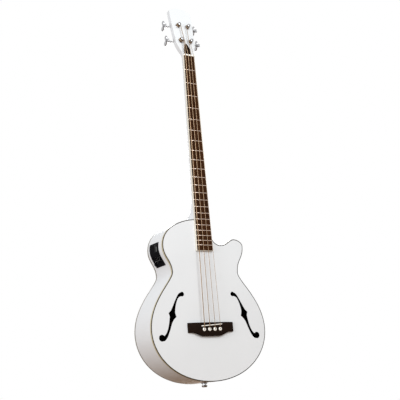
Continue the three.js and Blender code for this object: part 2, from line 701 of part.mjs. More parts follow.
function makeBridge(add) {
  const half = BRIDGE_WIDTH / 2;
  const belly = BRIDGE_BELLY_WIDTH / 2;
  const top = saddleHeight + BRIDGE_TOP_EDGE;
  const foot = top - BRIDGE_LENGTH;
  const bellyShares = [-1, -0.88, -0.76, -0.64, -0.52, -0.4, 0.4, 0.52, 0.64, 0.76, 0.88, 1];
  const bellyCurve = bellyShares.map((share) => [
    share * belly,
    foot - BRIDGE_BELLY * THREE.MathUtils.smoothstep(1 - Math.abs(share), 0, BRIDGE_BELLY_RAMP_SHARE),
  ]);
  const plan = [[half, top], [-half, top], [-half, foot], ...bellyCurve, [half, foot]];
  const wing = half - BRIDGE_WING_LENGTH;
  const profile = [[-half, 0], [half, 0], [half, BRIDGE_WING_THICKNESS], [wing, BRIDGE_THICKNESS],
    [-wing, BRIDGE_THICKNESS], [-half, BRIDGE_WING_THICKNESS]];
  const reach = BRIDGE_LENGTH + BRIDGE_BELLY + CUT_OVERRUN;
  const side = slab(profile, 0, reach);
  side.rotateX(Math.PI / 2);
  side.translate(0, 0, top + CUT_OVERRUN / 2 - reach);
  const blank = common(slab(plan, -BRIDGE_THICKNESS, 0), side);
  const slotFloor = SADDLE_SLOT_DEPTH - BRIDGE_THICKNESS;
  const angle = Math.atan2(SADDLE_SLANT, SADDLE_LENGTH);
  const across = (length, thickness, front, back) => {
    const bar = block(-length / 2, length / 2, front, back, -thickness / 2, thickness / 2);
    bar.rotateY(-angle);
    return placed(bar, 0, 0, saddleHeight);
  };
  const slot = across(
    SADDLE_LENGTH + 2 * FIT_GAP, SADDLE_THICKNESS + 2 * FIT_GAP, -BRIDGE_THICKNESS - CUT_OVERRUN, slotFloor,
  );
  add("bridge", minus(blank, slot, ...STRING_RADII.map((radius, k) => pinHole(k))), ROSEWOOD);
  const pickupTop = slotFloor - FIT_GAP - PICKUP_THICKNESS;
  add("saddle_pickup", across(SADDLE_LENGTH, SADDLE_THICKNESS, pickupTop, slotFloor - FIT_GAP), BRASS);
  add("saddle", across(SADDLE_LENGTH, SADDLE_THICKNESS, -SADDLE_HEIGHT, pickupTop - FIT_GAP), CREAM);

  STRING_RADII.forEach((radius, k) => {
    const seat = -BRIDGE_THICKNESS - FIT_GAP;
    const headTop = seat - PIN_HEAD_HEIGHT;
    const shankShare = 0.7;
    const pin = turned([
      [0, headTop + PIN_DOT_DEPTH], [PIN_DOT_RADIUS, headTop + PIN_DOT_DEPTH], [PIN_DOT_RADIUS, headTop],
      [PIN_HEAD_RADIUS * shankShare, headTop + PIN_HEAD_HEIGHT / 4],
      [PIN_HEAD_RADIUS, seat - PIN_HEAD_HEIGHT / 3], [PIN_HEAD_RADIUS, seat], [PIN_SHANK_RADIUS, seat],
      [PIN_SHANK_RADIUS * shankShare, seat + PIN_SHANK_LENGTH], [0, seat + PIN_SHANK_LENGTH],
    ], 14);
    const channel = radius + FIT_GAP;
    const groove = block(
      -channel, channel, headTop - CUT_OVERRUN, seat + PIN_SHANK_LENGTH + CUT_OVERRUN,
      PIN_STRING_OFFSET - channel, PIN_HEAD_RADIUS + CUT_OVERRUN,
    );
    add(`bridge_pin_${k + 1}`, placed(minus(pin, groove), bridgeX(k), 0, pinHeight), CREAM);
  });
}

// Head frame: x across, w behind the face, s up along the face
const headPoint = (x, w, s) => new THREE.Vector3(
  x,
  w * Math.cos(HEAD_TILT) + s * Math.sin(HEAD_TILT),
  nutTop - w * Math.sin(HEAD_TILT) + s * Math.cos(HEAD_TILT),
);

// A section of the neck: flat in front, and behind it a round back that squares up towards the head
const faceShares = [-1, -0.5, 0, 0.5, 1];
const squareShares = [
  [1, 0.5], [1, 1], [0.66, 1], [0.33, 1], [0, 1], [-0.33, 1], [-0.66, 1], [-1, 1], [-1, 0.5],
];
const FULLNESS = 0.8;

function neckSection(half, depth, squareShare, place, depthLimit = depth) {
  const face = faceShares.map((share) => place(share * half, 0, share));
  const behind = squareShares.map(([across, deep], i) => {
    const turn = (Math.PI * (i + 1)) / (squareShares.length + 1);
    const x = THREE.MathUtils.lerp(Math.cos(turn), across, squareShare) * half;
    const y = THREE.MathUtils.lerp(Math.sin(turn) ** FULLNESS, deep, squareShare) * depth;
    return place(x, Math.min(y, depthLimit), x / half);
  });
  return [...face, ...behind];
}

function makeNeck(add) {
  const level = (z) => (x, y) => new THREE.Vector3(x, y, z);
  const heelShares = [0, 0.1, 0.22, 0.36, 0.52, 0.7, 0.86, 1];
  const heelLimit = heelDepth - HEEL_CAP_THICKNESS - FIT_GAP;
  const heelRoot = heelLimit + HEEL_CAP_THICKNESS + HEEL_SWELL;
  const heel = heelShares.map((share) => {
    const z = BODY_LENGTH + share * HEEL_RISE;
    const depth = THREE.MathUtils.lerp(NECK_DEPTH_AT_HEEL, heelRoot, (1 - share) ** HEEL_SHARPNESS);
    return neckSection(boardHalf(z), depth, 0, level(z), heelLimit);
  });
  const shaftShares = [0.35, 0.7, 0.94];
  const shaft = shaftShares.map((share) => {
    const z = THREE.MathUtils.lerp(BODY_LENGTH + HEEL_RISE, nutTop, share);
    const depth = THREE.MathUtils.mapLinear(z, BODY_LENGTH, nutTop, NECK_DEPTH_AT_HEEL, NECK_DEPTH_AT_NUT);
    return neckSection(boardHalf(z), depth, 0, level(z));
  });
  // Each row: place along the head, then how far it has widened to the flare and to the top, and squareness
  const headShares = [
    [0, 0, 0, 0.35], [0.05, 0, 0, 0.7], [0.12, 0.34, 0, 1], [0.2, 0.74, 0, 1], [0.27, 1, 0, 1],
    [0.34, 1, 0.08, 1], [0.62, 1, 0.7, 1], [0.86, 1, 1, 1], [0.97, 1, 1, 1],
  ];
  const head = headShares.map(([share, flare, top, square]) => {
    const flared = THREE.MathUtils.lerp(NUT_WIDTH, HEAD_FLARE_WIDTH, flare);
    const width = THREE.MathUtils.lerp(flared, HEAD_TOP_WIDTH, top);
    return neckSection(width / 2, HEAD_THICKNESS, square, (x, y) => headPoint(x, y, share * HEAD_LENGTH));
  });
  const crest = neckSection(HEAD_TOP_WIDTH / 2 - FIT_GAP, HEAD_THICKNESS, 1, (x, y, across) =>
    headPoint(x, y, HEAD_LENGTH + HEAD_CREST * Math.cos((across * Math.PI) / 2)));
  const blank = loft([...heel, ...shaft, ...head, crest]);

  const channelHalf = TRUSS_CHANNEL_WIDTH / 2;
  const channel = block(
    -channelHalf, channelHalf, -CUT_OVERRUN, TRUSS_CHANNEL_DEPTH, trussFoot, nutTop - NUT_THICKNESS,
  );
  const pocket = block(
    -channelHalf, channelHalf, -CUT_OVERRUN, TRUSS_CHANNEL_DEPTH, nutTop - NUT_THICKNESS - FIT_GAP,
    nutTop + TRUSS_POCKET_LENGTH,
  );
  const bores = POST_ROWS.flatMap((row) => [-1, 1].map((side) => {
    const bore = placed(rod(BUSHING_RADIUS + FIT_GAP, -CUT_OVERRUN, HEAD_THICKNESS + CUT_OVERRUN, 16),
      side * POST_REACH, 0, row);
    return bore.applyMatrix4(headMatrix);
  }));
  add("neck", minus(blank, channel, pocket, ...bores), WHITE_GLOSS);

  const capFoot = BODY_LENGTH;
  const capShares = [0.15, 0.3, 0.5, 0.7, 0.85];
  const capPlan = [
    [-HEEL_CAP_HALF_WIDTH, capFoot], [HEEL_CAP_HALF_WIDTH, capFoot],
    ...capShares.map((share) => [
      HEEL_CAP_HALF_WIDTH * Math.cos(share * Math.PI), capFoot + HEEL_CAP_LENGTH * Math.sin(share * Math.PI),
    ]),
  ];
  add("heel_cap", slab(capPlan, heelDepth - HEEL_CAP_THICKNESS, heelDepth), ROSEWOOD);
}

// Fingerboard, its binding, the frets and the nut
function makeBoard(add) {
  const bound = BOARD_BINDING_WIDTH + FIT_GAP;
  const foot = boardEndHeight;
  const inner = [
    [-boardHalf(nutHeight) + bound, nutHeight], [-boardHalf(foot) + bound, foot + bound],
    [boardHalf(foot) - bound, foot + bound], [boardHalf(nutHeight) - bound, nutHeight],
  ];
  const fretLines = Array.from({ length: FRET_COUNT }, (unused, i) => nutHeight - fretDistance(i + 1));
  const slotReach = (z) => boardHalf(z) - bound;
  const slot = (z) => {
    const half = FRET_TANG_WIDTH / 2 + FRET_SLOT_CLEARANCE;
    const floor = -BOARD_THICKNESS + FRET_TANG_DEPTH + FRET_SLOT_CLEARANCE;
    return block(-boardEndHalf, boardEndHalf, -BOARD_THICKNESS - CUT_OVERRUN, floor, z - half, z + half);
  };
  const railTop = -BOARD_THICKNESS + FRET_TANG_DEPTH - FRET_SLOT_CLEARANCE;
  const railFoot = railTop + FRET_RAIL_DEPTH;
  const railHalf = FRET_RAIL_WIDTH / 2;
  const [railStart, railEnd] = [fretLines.at(-1) - railHalf, fretLines[0] + railHalf];
  const grooveHalf = railHalf + FIT_GAP;
  const groove = block(
    -grooveHalf, grooveHalf, railTop - FIT_GAP, CUT_OVERRUN, railStart - FIT_GAP, railEnd + FIT_GAP,
  );
  add("fingerboard", minus(slab(inner, -BOARD_THICKNESS, 0), groove, ...fretLines.map(slot)), ROSEWOOD);

  const outer = [
    [-boardHalf(nutHeight), nutHeight], [-boardHalf(foot), foot], [boardHalf(foot), foot],
    [boardHalf(nutHeight), nutHeight],
  ];
  const lineHalf = (z) => boardHalf(z) - BOARD_BINDING_WIDTH;
  const inside = [
    [lineHalf(nutHeight), nutHeight], [lineHalf(foot), foot + BOARD_BINDING_WIDTH],
    [-lineHalf(foot), foot + BOARD_BINDING_WIDTH], [-lineHalf(nutHeight), nutHeight],
  ];
  add("fingerboard_binding", slab([...outer, ...inside], -BOARD_THICKNESS, 0), CREAM);

  const crown = (z) => {
    const reach = boardHalf(z) - FRET_END_INSET;
    const section = (x) => [
      [-FRET_WIDTH / 2, BOARD_THICKNESS], [FRET_WIDTH / 2, BOARD_THICKNESS],
      [FRET_CROWN_WIDTH / 2, fretTop], [-FRET_CROWN_WIDTH / 2, fretTop],
    ].map(([across, lift]) => new THREE.Vector3(x, -lift, z + across));
    return loft([section(-reach), section(reach)]);
  };
  const tang = (z) => {
    const reach = slotReach(z) - FIT_GAP;
    const half = FRET_TANG_WIDTH / 2;
    const crownMiddle = -BOARD_THICKNESS - FRET_HEIGHT / 2;
    return block(-reach, reach, crownMiddle, -BOARD_THICKNESS + FRET_TANG_DEPTH, z - half, z + half);
  };
  const rail = block(-railHalf, railHalf, railTop, railFoot, railStart, railEnd);
  add("frets", plus(rail, ...fretLines.flatMap((z) => [crown(z), tang(z)])), NICKEL);

  const nutFace = -NUT_HEIGHT - STRING_RADII[0] / 2;
  const nutBlank = block(-NUT_WIDTH / 2, NUT_WIDTH / 2, nutFace, 0, nutHeight, nutTop);
  const nutSlots = STRING_RADII.map((radius, k) => {
    const half = radius + FIT_GAP;
    return block(nutX(k) - half, nutX(k) + half, -NUT_HEIGHT - CUT_OVERRUN, -nutLift(k) + half,
      nutHeight - CUT_OVERRUN, nutTop + CUT_OVERRUN);
  });
  add("nut", minus(nutBlank, ...nutSlots), CREAM);
}

// Truss rod and its cover
function makeTrussRod(add, headGroup) {
  const centre = TRUSS_CHANNEL_DEPTH - FIT_GAP - TRUSS_NUT_RADIUS;
  const end = nutTop + TRUSS_POCKET_LENGTH - CUT_OVERRUN;
  const nutFoot = end - TRUSS_NUT_LENGTH;
  const rodBody = alongZ(turned([
    [0, trussFoot + FIT_GAP], [TRUSS_ROD_RADIUS, trussFoot + FIT_GAP], [TRUSS_ROD_RADIUS, nutFoot],
    [TRUSS_NUT_RADIUS, nutFoot], [TRUSS_NUT_RADIUS, end], [0, end],
  ], 10));
  add("truss_rod", placed(rodBody, 0, centre, 0), STEEL);

  const half = COVER_WIDTH / 2;
  const foot = 2 * FIT_GAP;
  const edgeShares = [[1, 0], [1, 0.3], [0.93, 0.5], [0.72, 0.7], [0.4, 0.88], [0, 1]];
  const right = edgeShares.map(([across, up]) => [across * half, foot + up * COVER_LENGTH]);
  const left = right.slice(0, -1).reverse().map(([x, z]) => [-x, z]);
  const cover = slab([...right, ...left], -FIT_GAP - COVER_THICKNESS, -FIT_GAP);
  add("truss_rod_cover", cover, ROSEWOOD, headGroup);
}

// Tuners: plate with bushing and lugs, post with gear, and key with worm
const plateFront = HEAD_THICKNESS + FIT_GAP;
const plateBack = plateFront + PLATE_THICKNESS;
const gearFront = plateBack + GEAR_STANDOFF;
const gearBack = gearFront + GEAR_THICKNESS;
const wormDepth = (gearFront + gearBack) / 2;
const wormRise = GEAR_RADIUS + WORM_GAP + WORM_RADIUS;
const lugInner = WORM_LENGTH / 2 + FIT_GAP;
const lugOuter = lugInner + LUG_WIDTH;

function tunerPlate() {
  const half = PLATE_LENGTH / 2;
  const middle = wormRise / 4;
  const plate = block(
    -PLATE_WIDTH / 2, PLATE_WIDTH / 2, plateFront, plateBack, middle - half, middle + half,
  );
  const inPlate = plateBack - PLATE_THICKNESS / 2;
  const flangeTop = -FIT_GAP - BUSHING_FLANGE_HEIGHT;
  const sleeve = rod(BUSHING_RADIUS, -FIT_GAP - BUSHING_FLANGE_HEIGHT / 2, inPlate, 16);
  const flange = rod(BUSHING_FLANGE_RADIUS, flangeTop, -FIT_GAP, 16);
  const lug = (x0, x1) => block(
    x0, x1, inPlate, wormDepth + LUG_HALF_HEIGHT, wormRise - LUG_HALF_HEIGHT, wormRise + LUG_HALF_HEIGHT,
  );
  const solid = plus(plate, sleeve, flange, lug(-lugOuter, -lugInner), lug(lugInner, lugOuter));
  const bore = rod(POST_STEM_RADIUS + FIT_GAP, flangeTop - CUT_OVERRUN, gearFront + CUT_OVERRUN, 12);
  const shaftBore = alongX(rod(KEY_SHAFT_RADIUS + FIT_GAP, -PLATE_WIDTH, PLATE_WIDTH, 10));
  return minus(solid, bore, placed(shaftBore, 0, wormDepth, wormRise));
}

function tunerPost() {
  const flangeTop = -FIT_GAP - BUSHING_FLANGE_HEIGHT;
  const body = turned([
    [0, -POST_TOP], [POST_CAP_RADIUS, -POST_TOP], [POST_CAP_RADIUS, -POST_TOP + POST_CAP_HEIGHT],
    [POST_RADIUS, -POST_TOP + POST_CAP_HEIGHT + POST_CAP_SLOPE], [POST_RADIUS, flangeTop - FIT_GAP],
    [POST_STEM_RADIUS, flangeTop - FIT_GAP], [POST_STEM_RADIUS, gearFront + GEAR_THICKNESS / 2],
    [0, gearFront + GEAR_THICKNESS / 2],
  ], 14);
  const teeth = Array.from({ length: 2 * GEAR_TEETH }, (unused, i) => {
    const turn = (i * Math.PI) / GEAR_TEETH;
    const radius = i % 2 === 0 ? GEAR_RADIUS : GEAR_RADIUS - GEAR_TOOTH_DEPTH;
    return [radius * Math.cos(turn), radius * Math.sin(turn)];
  });
  const slotHalf = POST_SLOT_WIDTH / 2;
  const slotFloor = POST_SLOT_DEPTH - POST_TOP;
  const slot = block(
    -slotHalf, slotHalf, -POST_TOP - CUT_OVERRUN, slotFloor, -POST_CAP_RADIUS, POST_CAP_RADIUS,
  );
  return minus(plus(body, slab(teeth, gearFront, gearBack)), slot);
}

function tunerKey(side) {
  const bossStart = KEY_BOSS_START - POST_REACH;
  const bossEnd = KEY_BOSS_END - POST_REACH;
  const keyFace = KEY_REACH - POST_REACH;
  const worm = WORM_LENGTH / 2;
  const hubEnd = keyFace + KEY_THICKNESS + KEY_HUB_HEIGHT;
  const shaft = turned([
    [0, -lugOuter], [KEY_SHAFT_RADIUS, -lugOuter], [KEY_SHAFT_RADIUS, -worm], [WORM_RADIUS, -worm],
    [WORM_RADIUS, worm], [KEY_SHAFT_RADIUS, worm], [KEY_SHAFT_RADIUS, bossStart],
    [KEY_BOSS_RADIUS, bossStart],
    [KEY_BOSS_RADIUS, bossEnd], [KEY_SHAFT_RADIUS, bossEnd + LUG_WIDTH],
    [KEY_SHAFT_RADIUS, keyFace - LUG_WIDTH], [KEY_HUB_RADIUS, keyFace],
    [KEY_HUB_RADIUS, hubEnd - KEY_HUB_HEIGHT / 2], [KEY_SHAFT_RADIUS, hubEnd],
    [0, hubEnd],
  ], 10);
  const outline = Array.from({ length: KEY_LOBE_STEPS }, (unused, i) => {
    const turn = (i * 2 * Math.PI) / KEY_LOBE_STEPS;
    const radius = KEY_LOBE_RADIUS + KEY_LOBE_SWELL * Math.cos(3 * turn);
    return [radius * Math.sin(turn), radius * Math.cos(turn)];
  });
  const leaf = slab(outline, keyFace, keyFace + KEY_THICKNESS);
  const key = alongX(plus(shaft, leaf));
  if (side < 0) key.rotateY(Math.PI);
  return placed(key, 0, wormDepth, wormRise);
}

const TUNER_SIDES = [-1, -1, 1, 1];

function makeTuners(add, headGroup) {
  TUNER_SIDES.forEach((side, k) => {
    const seat = (geometry) => placed(geometry, side * POST_REACH, 0, POST_ROWS[STRING_ROWS[k]]);
    add(`tuner_plate_${k + 1}`, seat(tunerPlate()), CHROME, headGroup);
    add(`tuner_post_${k + 1}`, seat(tunerPost()), CHROME, headGroup);
    add(`tuner_key_${k + 1}`, seat(tunerKey(side)), CHROME, headGroup);
  });
}

// One tube of six sides along a list of points, each with its own radius
function tube(points, radii) {
  const guide = new THREE.Vector3(1, 0, 0);
  const sections = points.map((p, i) => {
    const before = points[Math.max(i - 1, 0)];
    const after = points[Math.min(i + 1, points.length - 1)];
    const ahead = after.clone().sub(before).normalize();
    const acrossways = guide.clone().addScaledVector(ahead, -guide.dot(ahead)).normalize();
    guide.copy(acrossways);
    const upright = ahead.clone().cross(acrossways);
    return Array.from({ length: STRING_SIDES }, (unused, j) => {
      const turn = (j * 2 * Math.PI) / STRING_SIDES;
      return p.clone().addScaledVector(acrossways, radii[i] * Math.cos(turn))
        .addScaledVector(upright, radii[i] * Math.sin(turn));
    });
  });
  return loft(sections);
}

// A string's points: ball end, bridge, saddle, nut, and the turns about its post
function stringRoute(k) {
  const radius = STRING_RADII[k];
  const side = TUNER_SIDES[k];
  const post = { x: side * POST_REACH, s: POST_ROWS[STRING_ROWS[k]] };
  const turnRadius = POST_RADIUS + FIT_GAP + radius;
  const pitch = 2 * radius + STRING_TURN_GAP;
  const firstDepth = -FIT_GAP - BUSHING_FLANGE_HEIGHT - 2 * FIT_GAP - radius - STRING_TURNS[k] * pitch;
  const holeZ = pinHeight + PIN_STRING_OFFSET;
  const x = bridgeX(k);
  const plateFloor = TOP_THICKNESS + BRIDGE_PLATE_THICKNESS;
  const points = [
    new THREE.Vector3(x, plateFloor + 2 * FIT_GAP + BALL_END_LENGTH, holeZ),
    new THREE.Vector3(x, plateFloor + 2 * FIT_GAP, holeZ),
    new THREE.Vector3(x, plateFloor + FIT_GAP, holeZ),
    new THREE.Vector3(x, -BRIDGE_THICKNESS - radius, holeZ),
    new THREE.Vector3(x, -saddleLift(k), saddleAt(x) - SADDLE_THICKNESS / 2 - FIT_GAP),
    new THREE.Vector3(nutX(k), -nutLift(k), nutHeight),
    new THREE.Vector3(nutX(k), -nutLift(k), nutTop),
  ];
  const radii = [BALL_END_RADIUS, BALL_END_RADIUS];

  // The tangent from the nut to the inner side of the post, in the plane of the head
  const dx = nutX(k) - post.x;
  const ds = -post.s;
  const distance = Math.hypot(dx, ds);
  const towards = Math.atan2(ds, dx);
  const swing = Math.acos(turnRadius / distance);
  const start = towards - side * swing;
  const turns = STRING_TURNS[k] * TURN_STEPS;
  for (let i = 0; i <= turns; i++) {
    const angle = start - side * (i * 2 * Math.PI) / TURN_STEPS;
    const depth = firstDepth + (pitch * i) / TURN_STEPS;
    const [across, along] = [Math.cos(angle), Math.sin(angle)].map((share) => share * turnRadius);
    points.push(headPoint(post.x + across, depth, post.s + along));
  }
  const last = points.at(-1);
  const run = last.clone().sub(points.at(-2)).normalize();
  points.push(last.clone().addScaledVector(run, 2 * radius));
  while (radii.length < points.length) radii.push(radius);
  return { points, radii, radius };
}

// The least gap between stretches of one tube that lie apart along it, measured on points
function leastGap({ points, radius }) {
  const fine = [];
  points.slice(1).forEach((p, i) => {
    const pieces = Math.min(8, Math.ceil(p.distanceTo(points[i]) / radius));
    for (let j = 0; j < pieces; j++) fine.push(points[i].clone().lerp(p, j / pieces));
  });
  const along = [0];
  for (let i = 1; i < fine.length; i++) along.push(along[i - 1] + fine[i].distanceTo(fine[i - 1]));
  let least = Infinity;
  for (let i = 0; i < fine.length; i++) {
    for (let j = i + 1; j < fine.length; j++) {
      if (along[j] - along[i] > 5 * radius) least = Math.min(least, fine[i].distanceTo(fine[j]) - 2 * radius);
    }
  }
  return least;
}

function makeStrings(add) {
  STRING_RADII.forEach((radius, k) => {
    const route = stringRoute(k);
    console.log(`string ${k + 1}: least gap to itself ${leastGap(route).toFixed(2)} mm`);
    add(`string_${k + 1}`, tube(route.points, route.radii), BRONZE);
  });
}

// Preamp, set in the bass side and following its curve
const preampBack = PREAMP_FRONT + PREAMP_WIDTH;
const panelInner = FIT_GAP;
const panelOuter = FIT_GAP + PREAMP_PLATE;

function preampOpening() {
  return block(-UPPER_BOUT, -CUTAWAY_REACH, PREAMP_FRONT + PREAMP_FRAME, preampBack - PREAMP_FRAME,
    preampFoot + PREAMP_FRAME, preampHead - PREAMP_FRAME);
}

// A curved plate outside the bass wall, between two distances, two heights and two depths
function wallPlate(near, far, front, back, foot, head) {
  const bends = bassHalf(inset(-near)).map((p) => p.y).filter((z) => z > foot && z < head);
  return loft([foot, ...bends, head].map((z) => {
    const [inX, outX] = [bassWall(z, near), bassWall(z, far)];
    const corners = [[outX, front], [inX, front], [inX, back], [outX, back]];
    return corners.map(([x, y]) => new THREE.Vector3(x, y, z));
  }));
}

// A piece drawn with +X out of the wall and +Z along it, set on the wall at a height and a depth
function onWall(geometry, y, z) {
  const span = SLIDER_CAP_LENGTH;
  const lean = Math.atan2(bassWall(z + span) - bassWall(z - span), 2 * span);
  geometry.rotateZ(Math.PI);
  geometry.rotateY(lean);
  return placed(geometry, bassWall(z), y, z);
}

const sliderPlace = (i) => PREAMP_FRONT + SLIDER_FIRST + i * SLIDER_PITCH;
const volumePlace = PREAMP_FRONT + VOLUME_PLACE;

function makePreamp(add) {
  const plate = wallPlate(panelInner, panelOuter, PREAMP_FRONT, preampBack, preampFoot, preampHead);
  const doorFront = PREAMP_FRONT + DOOR_PLACE;
  const doorHole = block(-UPPER_BOUT, -CUTAWAY_REACH, doorFront - FIT_GAP, doorFront + DOOR_WIDTH + FIT_GAP,
    doorFoot - FIT_GAP, doorHead + FIT_GAP);
  const windowFront = PREAMP_FRONT + WINDOW_PLACE;
  const windowHole = wallPlate(panelOuter - WINDOW_RECESS, panelOuter + CUT_OVERRUN, windowFront,
    windowFront + WINDOW_WIDTH, doorFoot, doorHead);
  const slotHalf = SLIDER_STEM / 2 + FIT_GAP;
  const slotReach = (SLIDER_TRAVEL + SLIDER_STEM) / 2 + FIT_GAP;
  const places = Array.from({ length: SLIDER_COUNT }, (unused, i) => sliderPlace(i));
  const slot = () => block(
    -CUT_OVERRUN, panelOuter + CUT_OVERRUN, -slotHalf, slotHalf, -slotReach, slotReach,
  );
  const slots = places.map((y) => onWall(slot(), y, sliderRow));
  const stemHole = (z) => onWall(
    alongX(rod(CONTROL_STEM_RADIUS + FIT_GAP, -CUT_OVERRUN, panelOuter + CUT_OVERRUN, 12)), volumePlace, z);
  const stemHoles = [volumeRow, buttonRow].map(stemHole);
  const panel = minus(plate, doorHole, windowHole, ...slots, ...stemHoles);
  add("preamp_panel", panel, BLACK_PLASTIC);
  const doorBack = doorFront + DOOR_WIDTH;
  const door = wallPlate(panelInner, panelOuter, doorFront, doorBack, doorFoot, doorHead);
  add("battery_door", door, BLACK_PLASTIC);

  const footDepth = -FIT_GAP - SLIDER_FOOT_THICKNESS;
  places.forEach((y, i) => {
    const stem = SLIDER_STEM / 2;
    const parts = [
      block(footDepth / 2, panelOuter + SLIDER_CAP_HEIGHT / 2, -stem, stem, -stem, stem),
      block(panelOuter + FIT_GAP, panelOuter + FIT_GAP + SLIDER_CAP_HEIGHT, -SLIDER_CAP_WIDTH / 2,
        SLIDER_CAP_WIDTH / 2, -SLIDER_CAP_LENGTH / 2, SLIDER_CAP_LENGTH / 2),
      block(footDepth, -FIT_GAP, -SLIDER_FOOT_WIDTH / 2, SLIDER_FOOT_WIDTH / 2, -SLIDER_FOOT_WIDTH / 2,
        SLIDER_FOOT_WIDTH / 2),
    ];
    add(`eq_slider_${i + 1}`, onWall(plus(...parts), y, sliderRow), BLACK_PLASTIC);
  });
  const control = (radius, seat, height) => alongX(turned([
    [0, -panelOuter], [CONTROL_STEM_RADIUS, -panelOuter], [CONTROL_STEM_RADIUS, seat], [radius, seat],
    [radius, seat + height], [0, seat + height],
  ], 18));
  const knobSeat = panelOuter + FIT_GAP;
  const volume = control(VOLUME_RADIUS, knobSeat, VOLUME_HEIGHT);
  add("volume_knob", onWall(volume, volumePlace, volumeRow), BLACK_PLASTIC);
  const button = control(BUTTON_RADIUS, knobSeat + BUTTON_TRAVEL, BUTTON_HEIGHT);
  add("tuner_button", onWall(button, volumePlace, buttonRow), BLACK_PLASTIC);

  const caseFront = PREAMP_FRONT + PREAMP_FRAME + FIT_GAP;
  const caseBack = preampBack - PREAMP_FRAME - FIT_GAP;
  const caseFoot = preampFoot + PREAMP_FRAME + FIT_GAP;
  const caseHead = preampHead - PREAMP_FRAME - FIT_GAP;
  const caseFloor = bassWall(caseHead) + PREAMP_CASE_DEPTH;
  const wall = PREAMP_CASE_WALL;
  const outside = slab(inset(0).map((p) => [p.x, p.y]), caseFront - CUT_OVERRUN, caseBack + CUT_OVERRUN);
  const shell = common(block(-UPPER_BOUT, caseFloor, caseFront, caseBack, caseFoot, caseHead), outside);
  const hollow = block(
    -UPPER_BOUT, caseFloor - wall, caseFront + wall, caseBack - wall, caseFoot + wall, caseHead - wall,
  );
  add("preamp_case", minus(shell, hollow), BLACK_PLASTIC);

  const batteryMiddle = doorFront + DOOR_WIDTH / 2;
  const batteryHead = caseHead - wall - FIT_GAP;
  const batteryFoot = batteryHead - BATTERY_WIDTH;
  const battery = block(caseFloor - wall - FIT_GAP - BATTERY_LENGTH, caseFloor - wall - FIT_GAP,
    batteryMiddle - BATTERY_THICKNESS / 2, batteryMiddle + BATTERY_THICKNESS / 2, batteryFoot, batteryHead);
  add("battery", battery, STEEL);
  const cardX = caseFloor - wall - BOARD_CARD_SETBACK;
  add("circuit_board", block(cardX, cardX + BOARD_CARD_THICKNESS, caseFront + wall + FIT_GAP,
    caseBack - wall - FIT_GAP, caseFoot + wall + FIT_GAP, batteryFoot - BOARD_CARD_GAP), GREEN_CARD);
}

// End jack with its washer, and the strap button on the heel
function makeHardware(add) {
  const washerTop = -FIT_GAP;
  const washerFoot = washerTop - JACK_WASHER_THICKNESS;
  const bore = JACK_BARREL_RADIUS + FIT_GAP;
  const washer = alongZ(turned([
    [bore, washerFoot], [JACK_WASHER_RADIUS, washerFoot], [JACK_WASHER_RADIUS, washerTop], [bore, washerTop],
    [bore, washerFoot],
  ], 16));
  add("jack_washer", placed(washer, 0, jackDepth, 0), BLACK_PLASTIC);
  const jackSeat = washerFoot - FIT_GAP;
  const inner = JACK_BORE_LENGTH - JACK_REACH;
  const jack = alongZ(turned([
    [JACK_BORE_RADIUS, -JACK_REACH], [JACK_NECK_RADIUS, -JACK_REACH],
    [JACK_FLARE_RADIUS, JACK_FLARE_EDGE - JACK_REACH],
    [JACK_FLARE_RADIUS, JACK_FLARE_EDGE + JACK_FLARE_WIDTH - JACK_REACH],
    [JACK_NECK_RADIUS, jackSeat - JACK_COLLAR_WIDTH - JACK_FLARE_EDGE],
    [JACK_NECK_RADIUS, jackSeat - JACK_COLLAR_WIDTH],
    [JACK_COLLAR_RADIUS, jackSeat - JACK_COLLAR_WIDTH / 2], [JACK_COLLAR_RADIUS, jackSeat],
    [JACK_BARREL_RADIUS, jackSeat], [JACK_BARREL_RADIUS, JACK_BARREL_LENGTH],
    [0, JACK_BARREL_LENGTH], [0, inner], [JACK_BORE_RADIUS, inner], [JACK_BORE_RADIUS, -JACK_REACH],
  ], 16));
  add("end_jack", placed(jack, 0, jackDepth, 0), CHROME);

  const seat = heelDepth + FIT_GAP;
  const strapShares = [[1, 0], [0.9, 0.14], [0.54, 0.25], [0.54, 0.68], [1, 0.82], [1, 1]];
  const button = turned([
    [0, seat],
    ...strapShares.map(([out, along]) => [STRAP_BUTTON_RADIUS * out, seat + STRAP_BUTTON_LENGTH * along]),
    [0, seat + STRAP_BUTTON_LENGTH],
  ], 16);
  add("strap_button", placed(button, 0, 0, BODY_LENGTH + STRAP_BUTTON_HEIGHT), CHROME);
}

// Assembly
const guitar = new THREE.Group();
const instrument = new THREE.Group();
guitar.add(instrument);
const headGroup = new THREE.Group();
headGroup.rotation.x = -HEAD_TILT;
headGroup.position.z = nutTop;
instrument.add(headGroup);

function add(name, geometry, look, parent = instrument) {
  const mesh = new THREE.Mesh(closedBody(geometry), new THREE.MeshStandardMaterial(look));
  mesh.name = name;
  parent.add(mesh);
}

makeBody(add);
makeBraces(add);
makeBridge(add);
makeNeck(add);
makeBoard(add);
makeTrussRod(add, headGroup);
makeTuners(add, headGroup);
makeStrings(add);
makePreamp(add);
makeHardware(add);

// The origin: bottom centre of the bounding box
instrument.updateMatrixWorld(true);
const box = new THREE.Box3().setFromObject(instrument, true);
const middleDepth = Math.round((box.min.y + box.max.y) / 2 / PLACE_STEP) * PLACE_STEP;
instrument.position.set(0, -middleDepth, -box.min.z);

export default guitar;
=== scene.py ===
"""An acoustic bass guitar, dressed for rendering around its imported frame.

Sizes are in millimetres of the maker's frame: x towards the treble side, y back from the face of the
soundboard, z up the neck from the tail. row() turns a place into metres of the shared frame.
"""
import logging
import math
from dataclasses import dataclass, field
from enum import Enum
from typing import Iterable, Optional, Sequence

import bmesh
import bpy
from bpy.types import Material, Mesh, Node, NodeSocket, NodeTree, Object
from mathutils import Euler, Matrix, Vector
from mathutils.geometry import delaunay_2d_cdt


